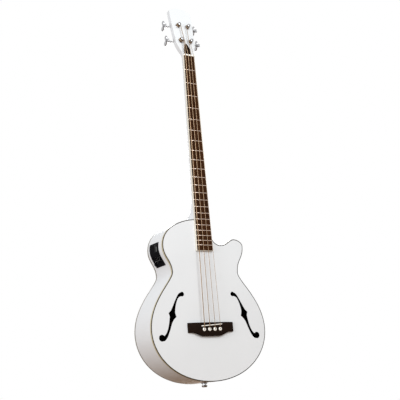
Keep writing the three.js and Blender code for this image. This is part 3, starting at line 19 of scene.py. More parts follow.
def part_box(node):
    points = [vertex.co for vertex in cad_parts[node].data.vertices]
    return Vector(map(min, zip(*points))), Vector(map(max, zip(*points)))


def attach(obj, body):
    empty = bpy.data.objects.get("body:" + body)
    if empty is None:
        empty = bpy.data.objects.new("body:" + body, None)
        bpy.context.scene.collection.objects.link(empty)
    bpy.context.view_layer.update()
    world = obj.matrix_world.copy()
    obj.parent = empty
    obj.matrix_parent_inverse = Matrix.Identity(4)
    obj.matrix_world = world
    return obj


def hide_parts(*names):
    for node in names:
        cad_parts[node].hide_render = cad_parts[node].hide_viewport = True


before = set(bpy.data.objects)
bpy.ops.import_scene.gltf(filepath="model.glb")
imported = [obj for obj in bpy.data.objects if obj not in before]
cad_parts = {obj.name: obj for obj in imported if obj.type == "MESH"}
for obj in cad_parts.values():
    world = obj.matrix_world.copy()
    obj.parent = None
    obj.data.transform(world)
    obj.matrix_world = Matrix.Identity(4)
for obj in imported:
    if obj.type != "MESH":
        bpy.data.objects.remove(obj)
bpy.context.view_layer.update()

Pair = tuple[float, float]
Triple = tuple[float, float, float]
Quad = tuple[float, float, float, float]
Values = tuple[float, ...]
Line = tuple[Pair, ...]
Plan = list[Pair]
Ribs = list[tuple[Pair, Pair]]
Colour = Triple

LOG = logging.getLogger("bass")
MM = 0.001
TINY = 1e-9
QUARTER = math.pi / 2
ROOT = "guitar"
RIM_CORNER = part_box("top_purfling")[0]
ORIGIN = Vector((0, RIM_CORNER[1], RIM_CORNER[2]))


def row(point: Vector) -> Vector:
    """Turns a place of the maker's frame into metres of the shared frame."""
    return point * MM + ORIGIN


def blend(start: float, end: float, share: float) -> float:
    """Gives the value at a share of the way from start to end."""
    return start + (end - start) * share


def evenly(start: float, end: float, steps: int) -> list[float]:
    """Gives values at even steps from start to end, both included."""
    return [blend(start, end, i / steps) for i in range(steps + 1)]


# Finishes

RAMP_STOPS = (0.32, 0.68)
LEAST_ROUGHNESS = 0.02
BUMP_STRENGTH = 0.6
WINDING_WAVE = {"Scale": 1, "Distortion": 0.2}
FIBRE_NOISE = {"Scale": 1, "Detail": 6, "Roughness": 0.62, "Distortion": 0.4}
SOFT_NOISE = {"Scale": 1, "Detail": 3, "Roughness": 0.5, "Distortion": 0.1}
PEEL_NOISE = {"Scale": 420, "Detail": 2}


def set_inputs(node: Node, values: dict[str, object]) -> None:
    """Sets inputs of a node by their names."""
    for name, value in values.items():
        node.inputs[name].default_value = value


class Grain(Enum):
    """How a finish varies over its surface."""

    CLOUD = "soft clouds with a fine orange peel"
    FIBRE = "long fibres and pores along the neck"
    WINDING = "fine turns of wire"
    BRUSHED = "fine scratches"


@dataclass(frozen=True)
class Finish:
    """A procedural finish.

    pitch is how many marks the pattern has to the metre along each axis, relief the height of its bumps
    in millimetres, and spread how far the roughness wanders.
    """

    name: str
    colour: Colour
    streak: Colour
    roughness: float
    grain: Grain
    pitch: Triple
    relief: float
    spread: float = 0.06
    metallic: float = 0.0
    coat: float = 0.0
    coat_roughness: float = 0.04
    specular: float = 0.5

    def material(self) -> Material:
        """Builds the node material, or finds it if it was built before.

        Returns:
            The material.
        """
        name = f"{self.name}_finish"
        found = bpy.data.materials.get(name)
        if found:
            return found
        material = bpy.data.materials.new(name)
        material.use_nodes = True
        tree = material.node_tree
        nodes, links = tree.nodes, tree.links
        shader = nodes["Principled BSDF"]
        place = nodes.new("ShaderNodeTexCoord")
        mapping = nodes.new("ShaderNodeMapping")
        set_inputs(mapping, {"Scale": self.pitch})
        links.new(place.outputs["Object"], mapping.inputs["Vector"])
        pattern = self.pattern(tree, mapping)
        ramp = nodes.new("ShaderNodeValToRGB")
        for stop, position, tone in zip(ramp.color_ramp.elements, RAMP_STOPS, (self.streak, self.colour)):
            stop.position = position
            stop.color = (*tone, 1)
        links.new(pattern, ramp.inputs["Fac"])
        links.new(ramp.outputs["Color"], shader.inputs["Base Color"])
        spread = nodes.new("ShaderNodeMapRange")
        set_inputs(spread, {
            "To Min": max(self.roughness - self.spread, LEAST_ROUGHNESS),
            "To Max": self.roughness + self.spread,
        })
        links.new(pattern, spread.inputs["Value"])
        links.new(spread.outputs["Result"], shader.inputs["Roughness"])
        bump = nodes.new("ShaderNodeBump")
        set_inputs(bump, {"Strength": BUMP_STRENGTH, "Distance": self.relief * MM})
        links.new(self.peel(tree, place, pattern), bump.inputs["Height"])
        links.new(bump.outputs["Normal"], shader.inputs["Normal"])
        set_inputs(shader, {
            "Metallic": self.metallic, "Coat Weight": self.coat, "Coat Roughness": self.coat_roughness,
            "Specular IOR Level": self.specular,
        })
        return material

    def pattern(self, tree: NodeTree, mapping: Node) -> NodeSocket:
        """Builds the colour pattern of the finish.

        Args:
            tree: The material's nodes and links.
            mapping: The node that scales the places.

        Returns:
            The socket that holds the pattern, from 0 to 1.
        """
        if self.grain is Grain.WINDING:
            texture = tree.nodes.new("ShaderNodeTexWave")
            texture.bands_direction = "Z"
            set_inputs(texture, WINDING_WAVE)
        else:
            texture = tree.nodes.new("ShaderNodeTexNoise")
            set_inputs(texture, FIBRE_NOISE if self.grain is Grain.FIBRE else SOFT_NOISE)
        tree.links.new(mapping.outputs["Vector"], texture.inputs["Vector"])
        return texture.outputs["Fac"]

    def peel(self, tree: NodeTree, place: Node,
             pattern: NodeSocket) -> NodeSocket:
        """Builds the height that the bump reads.

        Args:
            tree: The material's nodes and links.
            place: The node that gives places in metres.
            pattern: The colour pattern.

        Returns:
            The socket that holds the height.
        """
        if self.grain is not Grain.CLOUD:
            return pattern
        noise = tree.nodes.new("ShaderNodeTexNoise")
        set_inputs(noise, PEEL_NOISE)
        tree.links.new(place.outputs["Object"], noise.inputs["Vector"])
        return noise.outputs["Fac"]


WHITE_LACQUER = Finish(
    "white_lacquer", (0.785, 0.80, 0.815), (0.76, 0.775, 0.79), 0.16, Grain.CLOUD, (7, 7, 7), 0.02,
    coat=0.05, coat_roughness=0.2, specular=0.03,
)
# Spruce of the braces and of the soundboard's underside, darkened to about half its own colour: painted
# shade of the closed body.
SHADE_DARKENED_SPRUCE = Finish(
    "raw_spruce", (0.22, 0.14, 0.08), (0.15, 0.09, 0.05), 0.7, Grain.FIBRE, (420, 420, 9), 0.06,
)
# Mahogany of the linings, blocks and bridge plate, darkened below its own colour: painted shade of the
# closed body.
SHADE_DARKENED_MAHOGANY = Finish(
    "raw_mahogany", (0.16, 0.07, 0.04), (0.09, 0.035, 0.02), 0.7, Grain.FIBRE, (330, 330, 14), 0.08,
)
HOLE_EDGE = Finish(
    "hole_edge", (0.008, 0.007, 0.007), (0.004, 0.003, 0.003), 0.7, Grain.FIBRE, (300, 300, 20), 0.03,
    specular=0.15,
)
# The inside of the back and sides: bare wood in the real body, painted near-black as the shade within it.
PAINTED_SHADE_INSIDE = Finish(
    "painted_shade_inside", (0.018, 0.011, 0.008), (0.009, 0.006, 0.004), 0.85, Grain.FIBRE, (260, 260, 12), 0.06,
    specular=0.05,
)
CREAM = Finish(
    "cream_binding", (0.80, 0.75, 0.64), (0.74, 0.68, 0.56), 0.3, Grain.FIBRE, (60, 60, 18), 0.01, coat=0.4,
)
TAN_CREAM = Finish(
    "tan_binding", (0.56, 0.50, 0.33), (0.48, 0.42, 0.27), 0.35, Grain.FIBRE, (60, 60, 18), 0.01, coat=0.2,
)
REAR_EDGE = Finish(
    "rear_edge", (0.36, 0.34, 0.29), (0.29, 0.27, 0.23), 0.4, Grain.FIBRE, (60, 60, 18), 0.01, specular=0.1,
)
BLACK_LINE = Finish(
    "black_line", (0.045, 0.036, 0.023), (0.027, 0.021, 0.013), 0.45, Grain.FIBRE, (90, 90, 30), 0.01,
    specular=0.03,
)
ROSEWOOD = Finish(
    "rosewood", (0.070, 0.026, 0.009), (0.018, 0.006, 0.002), 0.6, Grain.FIBRE, (520, 520, 11), 0.12,
    spread=0.1, specular=0.02,
)
DARK_ROSEWOOD = Finish(
    "dark_rosewood", (0.019, 0.010, 0.0065), (0.007, 0.004, 0.003), 0.52, Grain.FIBRE, (22, 520, 520), 0.1,
    spread=0.1, specular=0.02,
)
BONE = Finish(
    "bone", (0.95, 0.93, 0.87), (0.91, 0.87, 0.78), 0.28, Grain.CLOUD, (160, 160, 60), 0.01, coat=0.3,
)
FRET_SILVER = Finish(
    "fret_silver", (0.82, 0.69, 0.60), (0.68, 0.56, 0.47), 0.24, Grain.BRUSHED, (2500, 900, 900), 0.004,
    metallic=1.0,
)
CHROME = Finish(
    "chrome", (0.50, 0.50, 0.51), (0.40, 0.40, 0.41), 0.2, Grain.BRUSHED, (90, 90, 90), 0.004,
    spread=0.04, metallic=1.0,
)
BRONZE = Finish(
    "bronze_winding", (0.38, 0.265, 0.17), (0.22, 0.15, 0.09), 0.38, Grain.WINDING, (1, 1, 698), 0.08,
    metallic=1.0,
)
BLACK_PLASTIC = Finish(
    "black_plastic", (0.007, 0.007, 0.008), (0.004, 0.004, 0.005), 0.5, Grain.CLOUD, (300, 300, 300), 0.02,
    specular=0.01,
)
GLOSS_BLACK = Finish(
    "gloss_black", (0.006, 0.006, 0.007), (0.004, 0.004, 0.005), 0.32, Grain.CLOUD, (120, 120, 120), 0.003,
    coat=0.04, specular=0.03,
)
SCREEN = Finish(
    "screen", (0.03, 0.034, 0.03), (0.02, 0.023, 0.02), 0.3, Grain.CLOUD, (500, 500, 500), 0.002, coat=0.2,
)
WHITE_MARK = Finish(
    "white_mark", (0.7, 0.7, 0.7), (0.62, 0.62, 0.62), 0.4, Grain.CLOUD, (400, 400, 400), 0.004,
)
STEEL = Finish(
    "steel", (0.42, 0.42, 0.43), (0.33, 0.33, 0.34), 0.32, Grain.BRUSHED, (800, 800, 90), 0.01,
    metallic=1.0,
)
BRASS = Finish(
    "pickup_brass", (0.62, 0.46, 0.2), (0.5, 0.36, 0.15), 0.35, Grain.BRUSHED, (80, 900, 900), 0.01,
    metallic=1.0,
)
CARD = Finish(
    "circuit_card", (0.03, 0.16, 0.07), (0.02, 0.1, 0.045), 0.4, Grain.CLOUD, (500, 500, 500), 0.02,
    coat=0.3,
)
FELT = Finish("felt", (0.02, 0.02, 0.022), (0.012, 0.012, 0.013), 0.9, Grain.CLOUD, (900, 900, 900), 0.15)


# Shapes

LEAST_MITRE = 0.2
MERGE_DISTANCE = 1e-7
FLAT_ANGLE = math.radians(0.6)
BEVEL_SEGMENTS = 3


def turns_left(plan: Plan) -> bool:
    """Tells whether a closed outline runs anticlockwise."""
    return sum(a[0] * b[1] - b[0] * a[1] for a, b in zip(plan, plan[1:] + plan[:1])) > 0


def inset_plan(plan: Plan, distance: float) -> Plan:
    """Moves a closed outline inwards by a distance, with its corners kept square.

    Args:
        plan: The corners of the outline, in either sense.
        distance: How far in, in millimetres.

    Returns:
        As many corners as before.
    """
    sense = 1 if turns_left(plan) else -1
    moved = []
    for i, corner in enumerate(plan):
        here = Vector(corner)
        before = (here - Vector(plan[i - 1])).normalized()
        after = (Vector(plan[(i + 1) % len(plan)]) - here).normalized()
        mitre = Vector((-before.y - after.y, before.x + after.x)) * sense
        moved.append(tuple(here + mitre * (distance / max(1 + before.dot(after), LEAST_MITRE))))
    return moved


def smooth_line(corners: Sequence[Values], steps: int) -> list[Values]:
    """Runs a smooth line through corners.

    Args:
        corners: The places that the line passes through.
        steps: How many steps there are between two corners.

    Returns:
        The places along the line, first and last corner included.
    """
    line = []
    last = len(corners) - 1
    for i in range(last):
        a, b = Vector(corners[max(i - 1, 0)]), Vector(corners[i])
        c, d = Vector(corners[i + 1]), Vector(corners[min(i + 2, last)])
        for j in range(steps):
            t = j / steps
            place = 0.5 * (2 * b + (c - a) * t + (2 * a - 5 * b + 4 * c - d) * t ** 2
                           + (3 * b - 3 * c + d - a) * t ** 3)
            line.append(tuple(place))
    line.append(tuple(corners[-1]))
    return line


def round_plan(radius: float, steps: int) -> Plan:
    """Gives the outline of a circle about the origin."""
    turns = [2 * math.pi * i / steps for i in range(steps)]
    return [(radius * math.cos(t), radius * math.sin(t)) for t in turns]


def rounded_plan(half_x: float, half_z: float, radius: float, steps: int = 4) -> Plan:
    """Gives the outline of a rectangle with rounded corners, about the origin.

    Args:
        half_x: Half its width.
        half_z: Half its height.
        radius: The radius of its corners.
        steps: How many steps each corner has.

    Returns:
        The corners of the outline.
    """
    plan = []
    for quarter, (sx, sz) in enumerate(((1, 1), (-1, 1), (-1, -1), (1, -1))):
        for i in range(steps + 1):
            turn = (quarter + i / steps) * QUARTER
            plan.append((
                sx * (half_x - radius) + radius * math.cos(turn),
                sz * (half_z - radius) + radius * math.sin(turn),
            ))
    return plan


def beyond(across: float, along: float, line: Sequence[Pair]) -> Plan:
    """Gives places that lie as far beyond a first place as a line says."""
    return [(across + out, along + on) for out, on in line]


def both_ends(half: float, ease: Sequence[Pair]) -> tuple[Plan, Plan]:
    """Gives the places near a piece's left end and, mirrored, near its right end.

    Args:
        half: Half the piece's length.
        ease: How far inwards each place lies, and its value.

    Returns:
        The x and the value of each place at the left, and of each at the right.
    """
    left = [(inwards - half, value) for inwards, value in ease]
    return left, [(-x, value) for x, value in reversed(left)]


@dataclass
class Shape:
    """Points and faces drawn for one piece, with the number of the finish on each face."""

    points: list[Vector] = field(default_factory=list)
    faces: list[tuple[int, ...]] = field(default_factory=list)
    marks: list[int] = field(default_factory=list)

    def face(self, corners: Iterable[int], mark: int = 0) -> None:
        """Adds one face."""
        self.faces.append(tuple(corners))
        self.marks.append(mark)

    def loft(self, rings: Sequence[Sequence[Vector]], mark: int = 0, ring: bool = False,
             caps: bool = True) -> "Shape":
        """Joins rings of equal counts into a skin.

        Args:
            rings: The rings, each a closed loop of points.
            mark: The number of the finish.
            ring: Whether the last ring joins the first.
            caps: Whether the two ends are closed.

        Returns:
            This shape.
        """
        start, count = len(self.points), len(rings[0])
        for points in rings:
            self.points.extend(Vector(p) for p in points)
        for i in range(len(rings) if ring else len(rings) - 1):
            here, there = start + i * count, start + (i + 1) % len(rings) * count
            for j in range(count):
                k = (j + 1) % count
                self.face((here + j, here + k, there + k, there + j), mark)
        if caps and not ring:
            last = start + (len(rings) - 1) * count
            self.face(range(start + count - 1, start - 1, -1), mark)
            self.face(range(last, last + count), mark)
        return self

    def turned(self, profile: Sequence[Pair], sides: int = 48, mark: int = 0,
               hollow: bool = False) -> "Shape":
        """Adds a piece turned about the y axis.

        Args:
            profile: Radius and place along the axis, from one end to the other.
            sides: How many sides the turning has.
            mark: The number of the finish.
            hollow: Whether the profile closes on itself, as for a ring.

        Returns:
            This shape.
        """
        rings = [[Vector((x, y, z)) for x, z in round_plan(r, sides)] for r, y in profile]
        return self.loft(rings, mark, ring=hollow, caps=False)

    def slab(self, plan: Plan, front: float, back: float, edge: float = 0.0, back_edge: float = 0.0,
             mark: int = 0, steps: int = 3) -> "Shape":
        """Adds a plate drawn in x and z, with rounded edges.

        Args:
            plan: Its outline.
            front: The depth of its front.
            back: The depth of its back.
            edge: How far the front edge is rounded.
            back_edge: How far the back edge is rounded.
            mark: The number of the finish.
            steps: How many steps each rounding has.

        Returns:
            This shape.
        """
        turns, levels = evenly(0, QUARTER, steps), []
        for t in turns if edge else turns[:1]:
            levels.append((edge * (1 - math.sin(t)), front + edge * (1 - math.cos(t))))
        for t in reversed(turns if back_edge else turns[-1:]):
            levels.append((back_edge * (1 - math.sin(t)), back - back_edge * (1 - math.cos(t))))
        rings = [[Vector((x, depth, z)) for x, z in inset_plan(plan, inward)] for inward, depth in levels]
        return self.loft(rings, mark)

    def add(self, other: "Shape", matrix: Optional[Matrix] = None, mark: Optional[int] = None) -> "Shape":
        """Adds another shape.

        Args:
            other: The shape that is added.
            matrix: How it is moved, if it is.
            mark: The number of its finish, or None to keep its own.

        Returns:
            This shape.
        """
        start = len(self.points)
        self.points.extend(matrix @ p if matrix else p.copy() for p in other.points)
        self.faces.extend(tuple(start + i for i in corners) for corners in other.faces)
        self.marks.extend(other.marks if mark is None else [mark] * len(other.faces))
        return self

    def moved(self, matrix: Matrix) -> "Shape":
        """Gives a copy of this shape, moved by a matrix."""
        return Shape().add(self, matrix)


def to_mesh(name: str, shape: Shape) -> Mesh:
    """Makes a clean mesh of a shape, in the shared frame.

    Args:
        name: The mesh's name.
        shape: The shape, in the maker's frame.

    Returns:
        The mesh, its doubled points joined and its faces turned outwards.
    """
    mesh = bpy.data.meshes.new(name)
    mesh.from_pydata([row(p) for p in shape.points], [], shape.faces)
    mesh.polygons.foreach_set("material_index", shape.marks)
    tidy = bmesh.new()
    tidy.from_mesh(mesh)
    bmesh.ops.remove_doubles(tidy, verts=tidy.verts, dist=MERGE_DISTANCE)
    bmesh.ops.recalc_face_normals(tidy, faces=tidy.faces)
    tidy.to_mesh(mesh)
    tidy.free()
    return mesh


def dress(piece: Object, body: str, stands_for: Sequence[str], bevel: float,
          angle: float) -> Object:
    """Gives a piece its edges, its body and its place in the frame.

    Args:
        piece: The object.
        body: The body it rides on.
        stands_for: The frame's nodes that it replaces.
        bevel: How far its edges are rounded, in millimetres.
        angle: The angle, in degrees, above which an edge stays sharp.

    Returns:
        The object.
    """
    mesh = piece.data
    mesh.polygons.foreach_set("use_smooth", [True] * len(mesh.polygons))
    mesh.set_sharp_from_angle(angle=math.radians(angle))
    if bevel:
        edges = piece.modifiers.new("rounded_edges", "BEVEL")
        edges.width = bevel * MM
        edges.segments = BEVEL_SEGMENTS
        edges.limit_method = "ANGLE"
        edges.angle_limit = math.radians(angle)
        edges.harden_normals = True
    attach(piece, body)
    if stands_for:
        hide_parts(*stands_for)
    return piece


def make(name: str, shape: Shape, finishes: Sequence[Finish], body: str = ROOT,
         stands_for: Sequence[str] = (), bevel: float = 0.0, angle: float = 40.0,
         cutters: Sequence[Shape] = ()) -> Object:
    """Makes a piece of the guitar.

    Args:
        name: Its name.
        shape: Its shape, in the maker's frame.
        finishes: Its finishes, in the order of the faces' numbers.
        body: The body it rides on.
        stands_for: The frame's nodes that it replaces.
        bevel: How far its edges are rounded, in millimetres.
        angle: The angle, in degrees, above which an edge stays sharp.
        cutters: Shapes that are cut out of it.

    Returns:
        The object.
    """
    mesh = to_mesh(name, shape)
    for finish in finishes:
        mesh.materials.append(finish.material())
    piece = bpy.data.objects.new(name, mesh)
    bpy.context.scene.collection.objects.link(piece)
    if cutters:
        carve(piece, cutters)
    return dress(piece, body, stands_for, bevel, angle)


def carve(piece: Object, cutters: Sequence[Shape]) -> None:
    """Cuts shapes out of a piece and keeps the result as its mesh.

    Args:
        piece: The piece, which is changed.
        cutters: The shapes that are cut out of it.
    """
    tools = []
    for number, shape in enumerate(cutters):
        tool = bpy.data.objects.new(f"cutter_{number}", to_mesh(f"cutter_{number}", shape))
        bpy.context.scene.collection.objects.link(tool)
        cut = piece.modifiers.new(tool.name, "BOOLEAN")
        cut.operation, cut.solver, cut.object = "DIFFERENCE", "EXACT", tool
        tools.append(tool)
    bpy.context.view_layer.update()
    graph = bpy.context.evaluated_depsgraph_get()
    carved = bpy.data.meshes.new_from_object(piece.evaluated_get(graph))
    piece.modifiers.clear()
    piece.data = carved
    for tool in tools:
        bpy.data.objects.remove(tool)


def refine(node: str, finish: Finish, bevel: float, body: str = ROOT,
           angle: float = 30.0) -> Object:
    """Makes a piece from a copy of a frame node, with its flat faces joined and its edges rounded.

    Args:
        node: The frame's node.
        finish: The finish.
        bevel: How far the edges are rounded, in millimetres.
        body: The body it rides on.
        angle: The angle, in degrees, above which an edge is rounded.

    Returns:
        The object.
    """
    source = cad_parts[node]
    mesh = source.data.copy()
    mesh.name = f"{node}_finished"
    tidy = bmesh.new()
    tidy.from_mesh(mesh)
    tidy.transform(source.matrix_world)
    bmesh.ops.remove_doubles(tidy, verts=tidy.verts, dist=MERGE_DISTANCE)
    bmesh.ops.dissolve_limit(tidy, verts=tidy.verts, edges=tidy.edges, angle_limit=FLAT_ANGLE)
    tidy.to_mesh(mesh)
    tidy.free()
    mesh.materials.clear()
    mesh.materials.append(finish.material())
    piece = bpy.data.objects.new(mesh.name, mesh)
    bpy.context.scene.collection.objects.link(piece)
    return dress(piece, body, [node], bevel, angle)


def bar(length: float, depth: float, height: float, edge: float) -> Shape:
    """Gives a bar with rounded edges about the origin: its length on x, depth on y and height on z."""
    return Shape().slab(rounded_plan(length / 2, height / 2, edge), -depth / 2, depth / 2, edge, edge)


def shift(x: float, y: float, z: float) -> Matrix:
    """Gives the matrix of a move."""
    return Matrix.Translation((x, y, z))


def spin(angle: float, axis: str) -> Matrix:
    """Gives the matrix of a turn about an axis."""
    return Matrix.Rotation(angle, 4, axis)


def screw(radius: float, height: float) -> Shape:
    """Gives a domed screw head that faces -y, with a cross recess.

    Args:
        radius: Its radius.
        height: How far it stands out.

    Returns:
        The shape, with finish 0 on the dome and 1 on the cross, a thin bar that stands for the recess; where
        a caller gives the cross black, that black is painted shade of the recess.
    """
    dome_line = ((0, 1), (0.45, 0.95), (0.8, 0.6), (1, 0), (0, 0))
    dome = Shape().turned([(radius * out, -height * up) for out, up in dome_line], 24)
    recess = bar(radius * 1.2, height * 0.3, radius * 0.25, radius * 0.05)
    for turn in (0, QUARTER):
        dome.add(recess, shift(0, -height, 0) @ spin(turn, "Y"), 1)
    return dome


# Body

# A side has this many rows of points on each face
SIDE_ROWS = 4
INSIDE_TRIANGLES = 1
NEAR = 1e-5


@dataclass(frozen=True)
class Station:
    """A place of the outline where it runs level or upright."""

    x: float
    z: float
    level: bool


@dataclass
class Outline:
    """The body's outline, as smooth sweeps between stations.

    A pair of handles tells how far a sweep's first and last handle reach, as shares of its run or rise.
    """

    length: float = 490
    lower_bout: float = 400
    lower_bout_height: float = 155
    waist: float = 234
    waist_height: float = 325
    upper_bout: float = 287
    upper_bout_height: float = 404
    horn_side_height: float = 412
    horn_reach: float = 112.5
    horn_height: float = 431.5
    cutaway_reach: float = 61
    cutaway_height: float = 411.5
    cheek_reach: float = 25.5
    cheek_height: float = 455
    shoulder_reach: float = 27.03
    low_handles: Line = ((0.59, 0.535), (0.5, 0.14))
    bass_handles: Line = ((0.456, 0.418), (0.84, 0.13))
    treble_handles: Line = ((0.5, 0.5), (0.5, 0.4), (0.35, 0.49), (0.66, 0.46))
    spacing: float = 4.5
    fine_steps: int = 240
    least_steps: int = 4
    tail_depth: float = 115
    neck_depth: float = 93
    back_crown: float = 4

    def __post_init__(self) -> None:
        """Works out the two sides and the whole rim."""
        tail = Station(0, 0, True)
        lower = Station(self.lower_bout / 2, self.lower_bout_height, False)
        waist = Station(self.waist / 2, self.waist_height, False)
        upper = Station(self.upper_bout / 2, self.upper_bout_height, False)
        shoulder = Station(self.shoulder_reach, self.length, True)
        horn_side = Station(self.upper_bout / 2, self.horn_side_height, False)
        horn_tip = Station(self.horn_reach, self.horn_height, True)
        floor = Station(self.cutaway_reach, self.cutaway_height, True)
        cheek = Station(self.cheek_reach, self.cheek_height, False)
        low = self.run([tail, lower, waist], self.low_handles)
        self.bass_side = low + self.run([waist, upper, shoulder], self.bass_handles)
        self.bass_side.append((shoulder.x, shoulder.z))
        self.treble_side = low + self.run([waist, horn_side, horn_tip, floor, cheek], self.treble_handles)
        self.treble_side += [(cheek.x, cheek.z), (cheek.x, self.length)]
        self.rim = [(-x, z) for x, z in self.bass_side] + [(0, self.length)] + self.treble_side[:0:-1]
        self.top_centre = len(self.bass_side)

    def run(self, stations: Sequence[Station], handles: Sequence[Pair]) -> Plan:
        """Draws the sweeps between a row of stations.

        Args:
            stations: The stations.
            handles: A pair of handles for each sweep.

        Returns:
            Their places, without the last.
        """
        line = []
        for start, end, (leaving, arriving) in zip(stations, stations[1:], handles):
            line += self.sweep(start, end, leaving, arriving)
        return line

    def sweep(self, start: Station, end: Station, leaving: float, arriving: float) -> Plan:
        """Draws the sweep between two stations.

        Args:
            start: Where it starts.
            end: Where it ends.
            leaving: How far the first handle reaches, as a share of the run or rise.
            arriving: How far the second handle reaches.

        Returns:
            Evenly spaced places, without the last.
        """
        run, rise = end.x - start.x, end.z - start.z
        first = Vector((leaving * run, 0) if start.level else (0, leaving * rise))
        second = Vector((arriving * run, 0) if end.level else (0, arriving * rise))
        a, d = Vector((start.x, start.z)), Vector((end.x, end.z))
        b, c = a + first, d - second
        fine = []
        for t in evenly(0, 1, self.fine_steps):
            fine.append(a * (1 - t) ** 3 + b * 3 * t * (1 - t) ** 2 + c * 3 * t * t * (1 - t) + d * t ** 3)
        along = [0.0]
        for here, there in zip(fine, fine[1:]):
            along.append(along[-1] + (there - here).length)
        steps = max(self.least_steps, round(along[-1] / self.spacing))
        places, j = [], 0
        for i in range(steps):
            goal = along[-1] * i / steps
            while along[j + 1] < goal:
                j += 1
            share = (goal - along[j]) / max(along[j + 1] - along[j], TINY)
            places.append(tuple(fine[j].lerp(fine[j + 1], share)))
        return places

    def inset(self, distance: float) -> Plan:
        """Gives the rim moved inwards by a distance."""
        return inset_plan(self.rim, distance)

    def depth(self, x: float, z: float) -> float:
        """Gives the depth of the crowned back behind the soundboard's face."""
        taper = (self.neck_depth - self.tail_depth) * z / self.length
        return self.tail_depth + taper + self.back_crown * (1 - (x / (self.lower_bout / 2)) ** 2)

    def wall(self, z: float, outwards: float = 0.0) -> float:
        """Gives the x of the bass wall at a height.

        Args:
            z: The height.
            outwards: How far the wall is moved outwards.

        Returns:
            The x.
        """
        line = self.inset(-outwards)[:self.top_centre]
        for (x0, z0), (x1, z1) in zip(line, line[1:]):
            if z0 <= z <= z1:
                return blend(x0, x1, (z - z0) / max(z1 - z0, TINY))
        return line[-1][0]


def strip(outline: Outline, sections: Sequence[Sequence[Pair]]) -> list[list[Vector]]:
    """Gives the rings of a strip that follows the rim.

    Args:
        outline: The body's outline.
        sections: For each place of the rim, the inset and the depth of the strip's corners.

    Returns:
        One ring for each place.
    """
    insets = {inward for section in sections for inward, _ in section}
    plans = {inward: outline.inset(inward) for inward in insets}
    rings = []
    for i, section in enumerate(sections):
        corners = [(plans[inward][i], depth) for inward, depth in section]
        rings.append([Vector((x, depth, z)) for (x, z), depth in corners])
    return rings


def near(place: Sequence[float]) -> Pair:
    """Gives a place rounded to a thousandth, so that it can be looked up."""
    return round(place[0], 3), round(place[1], 3)


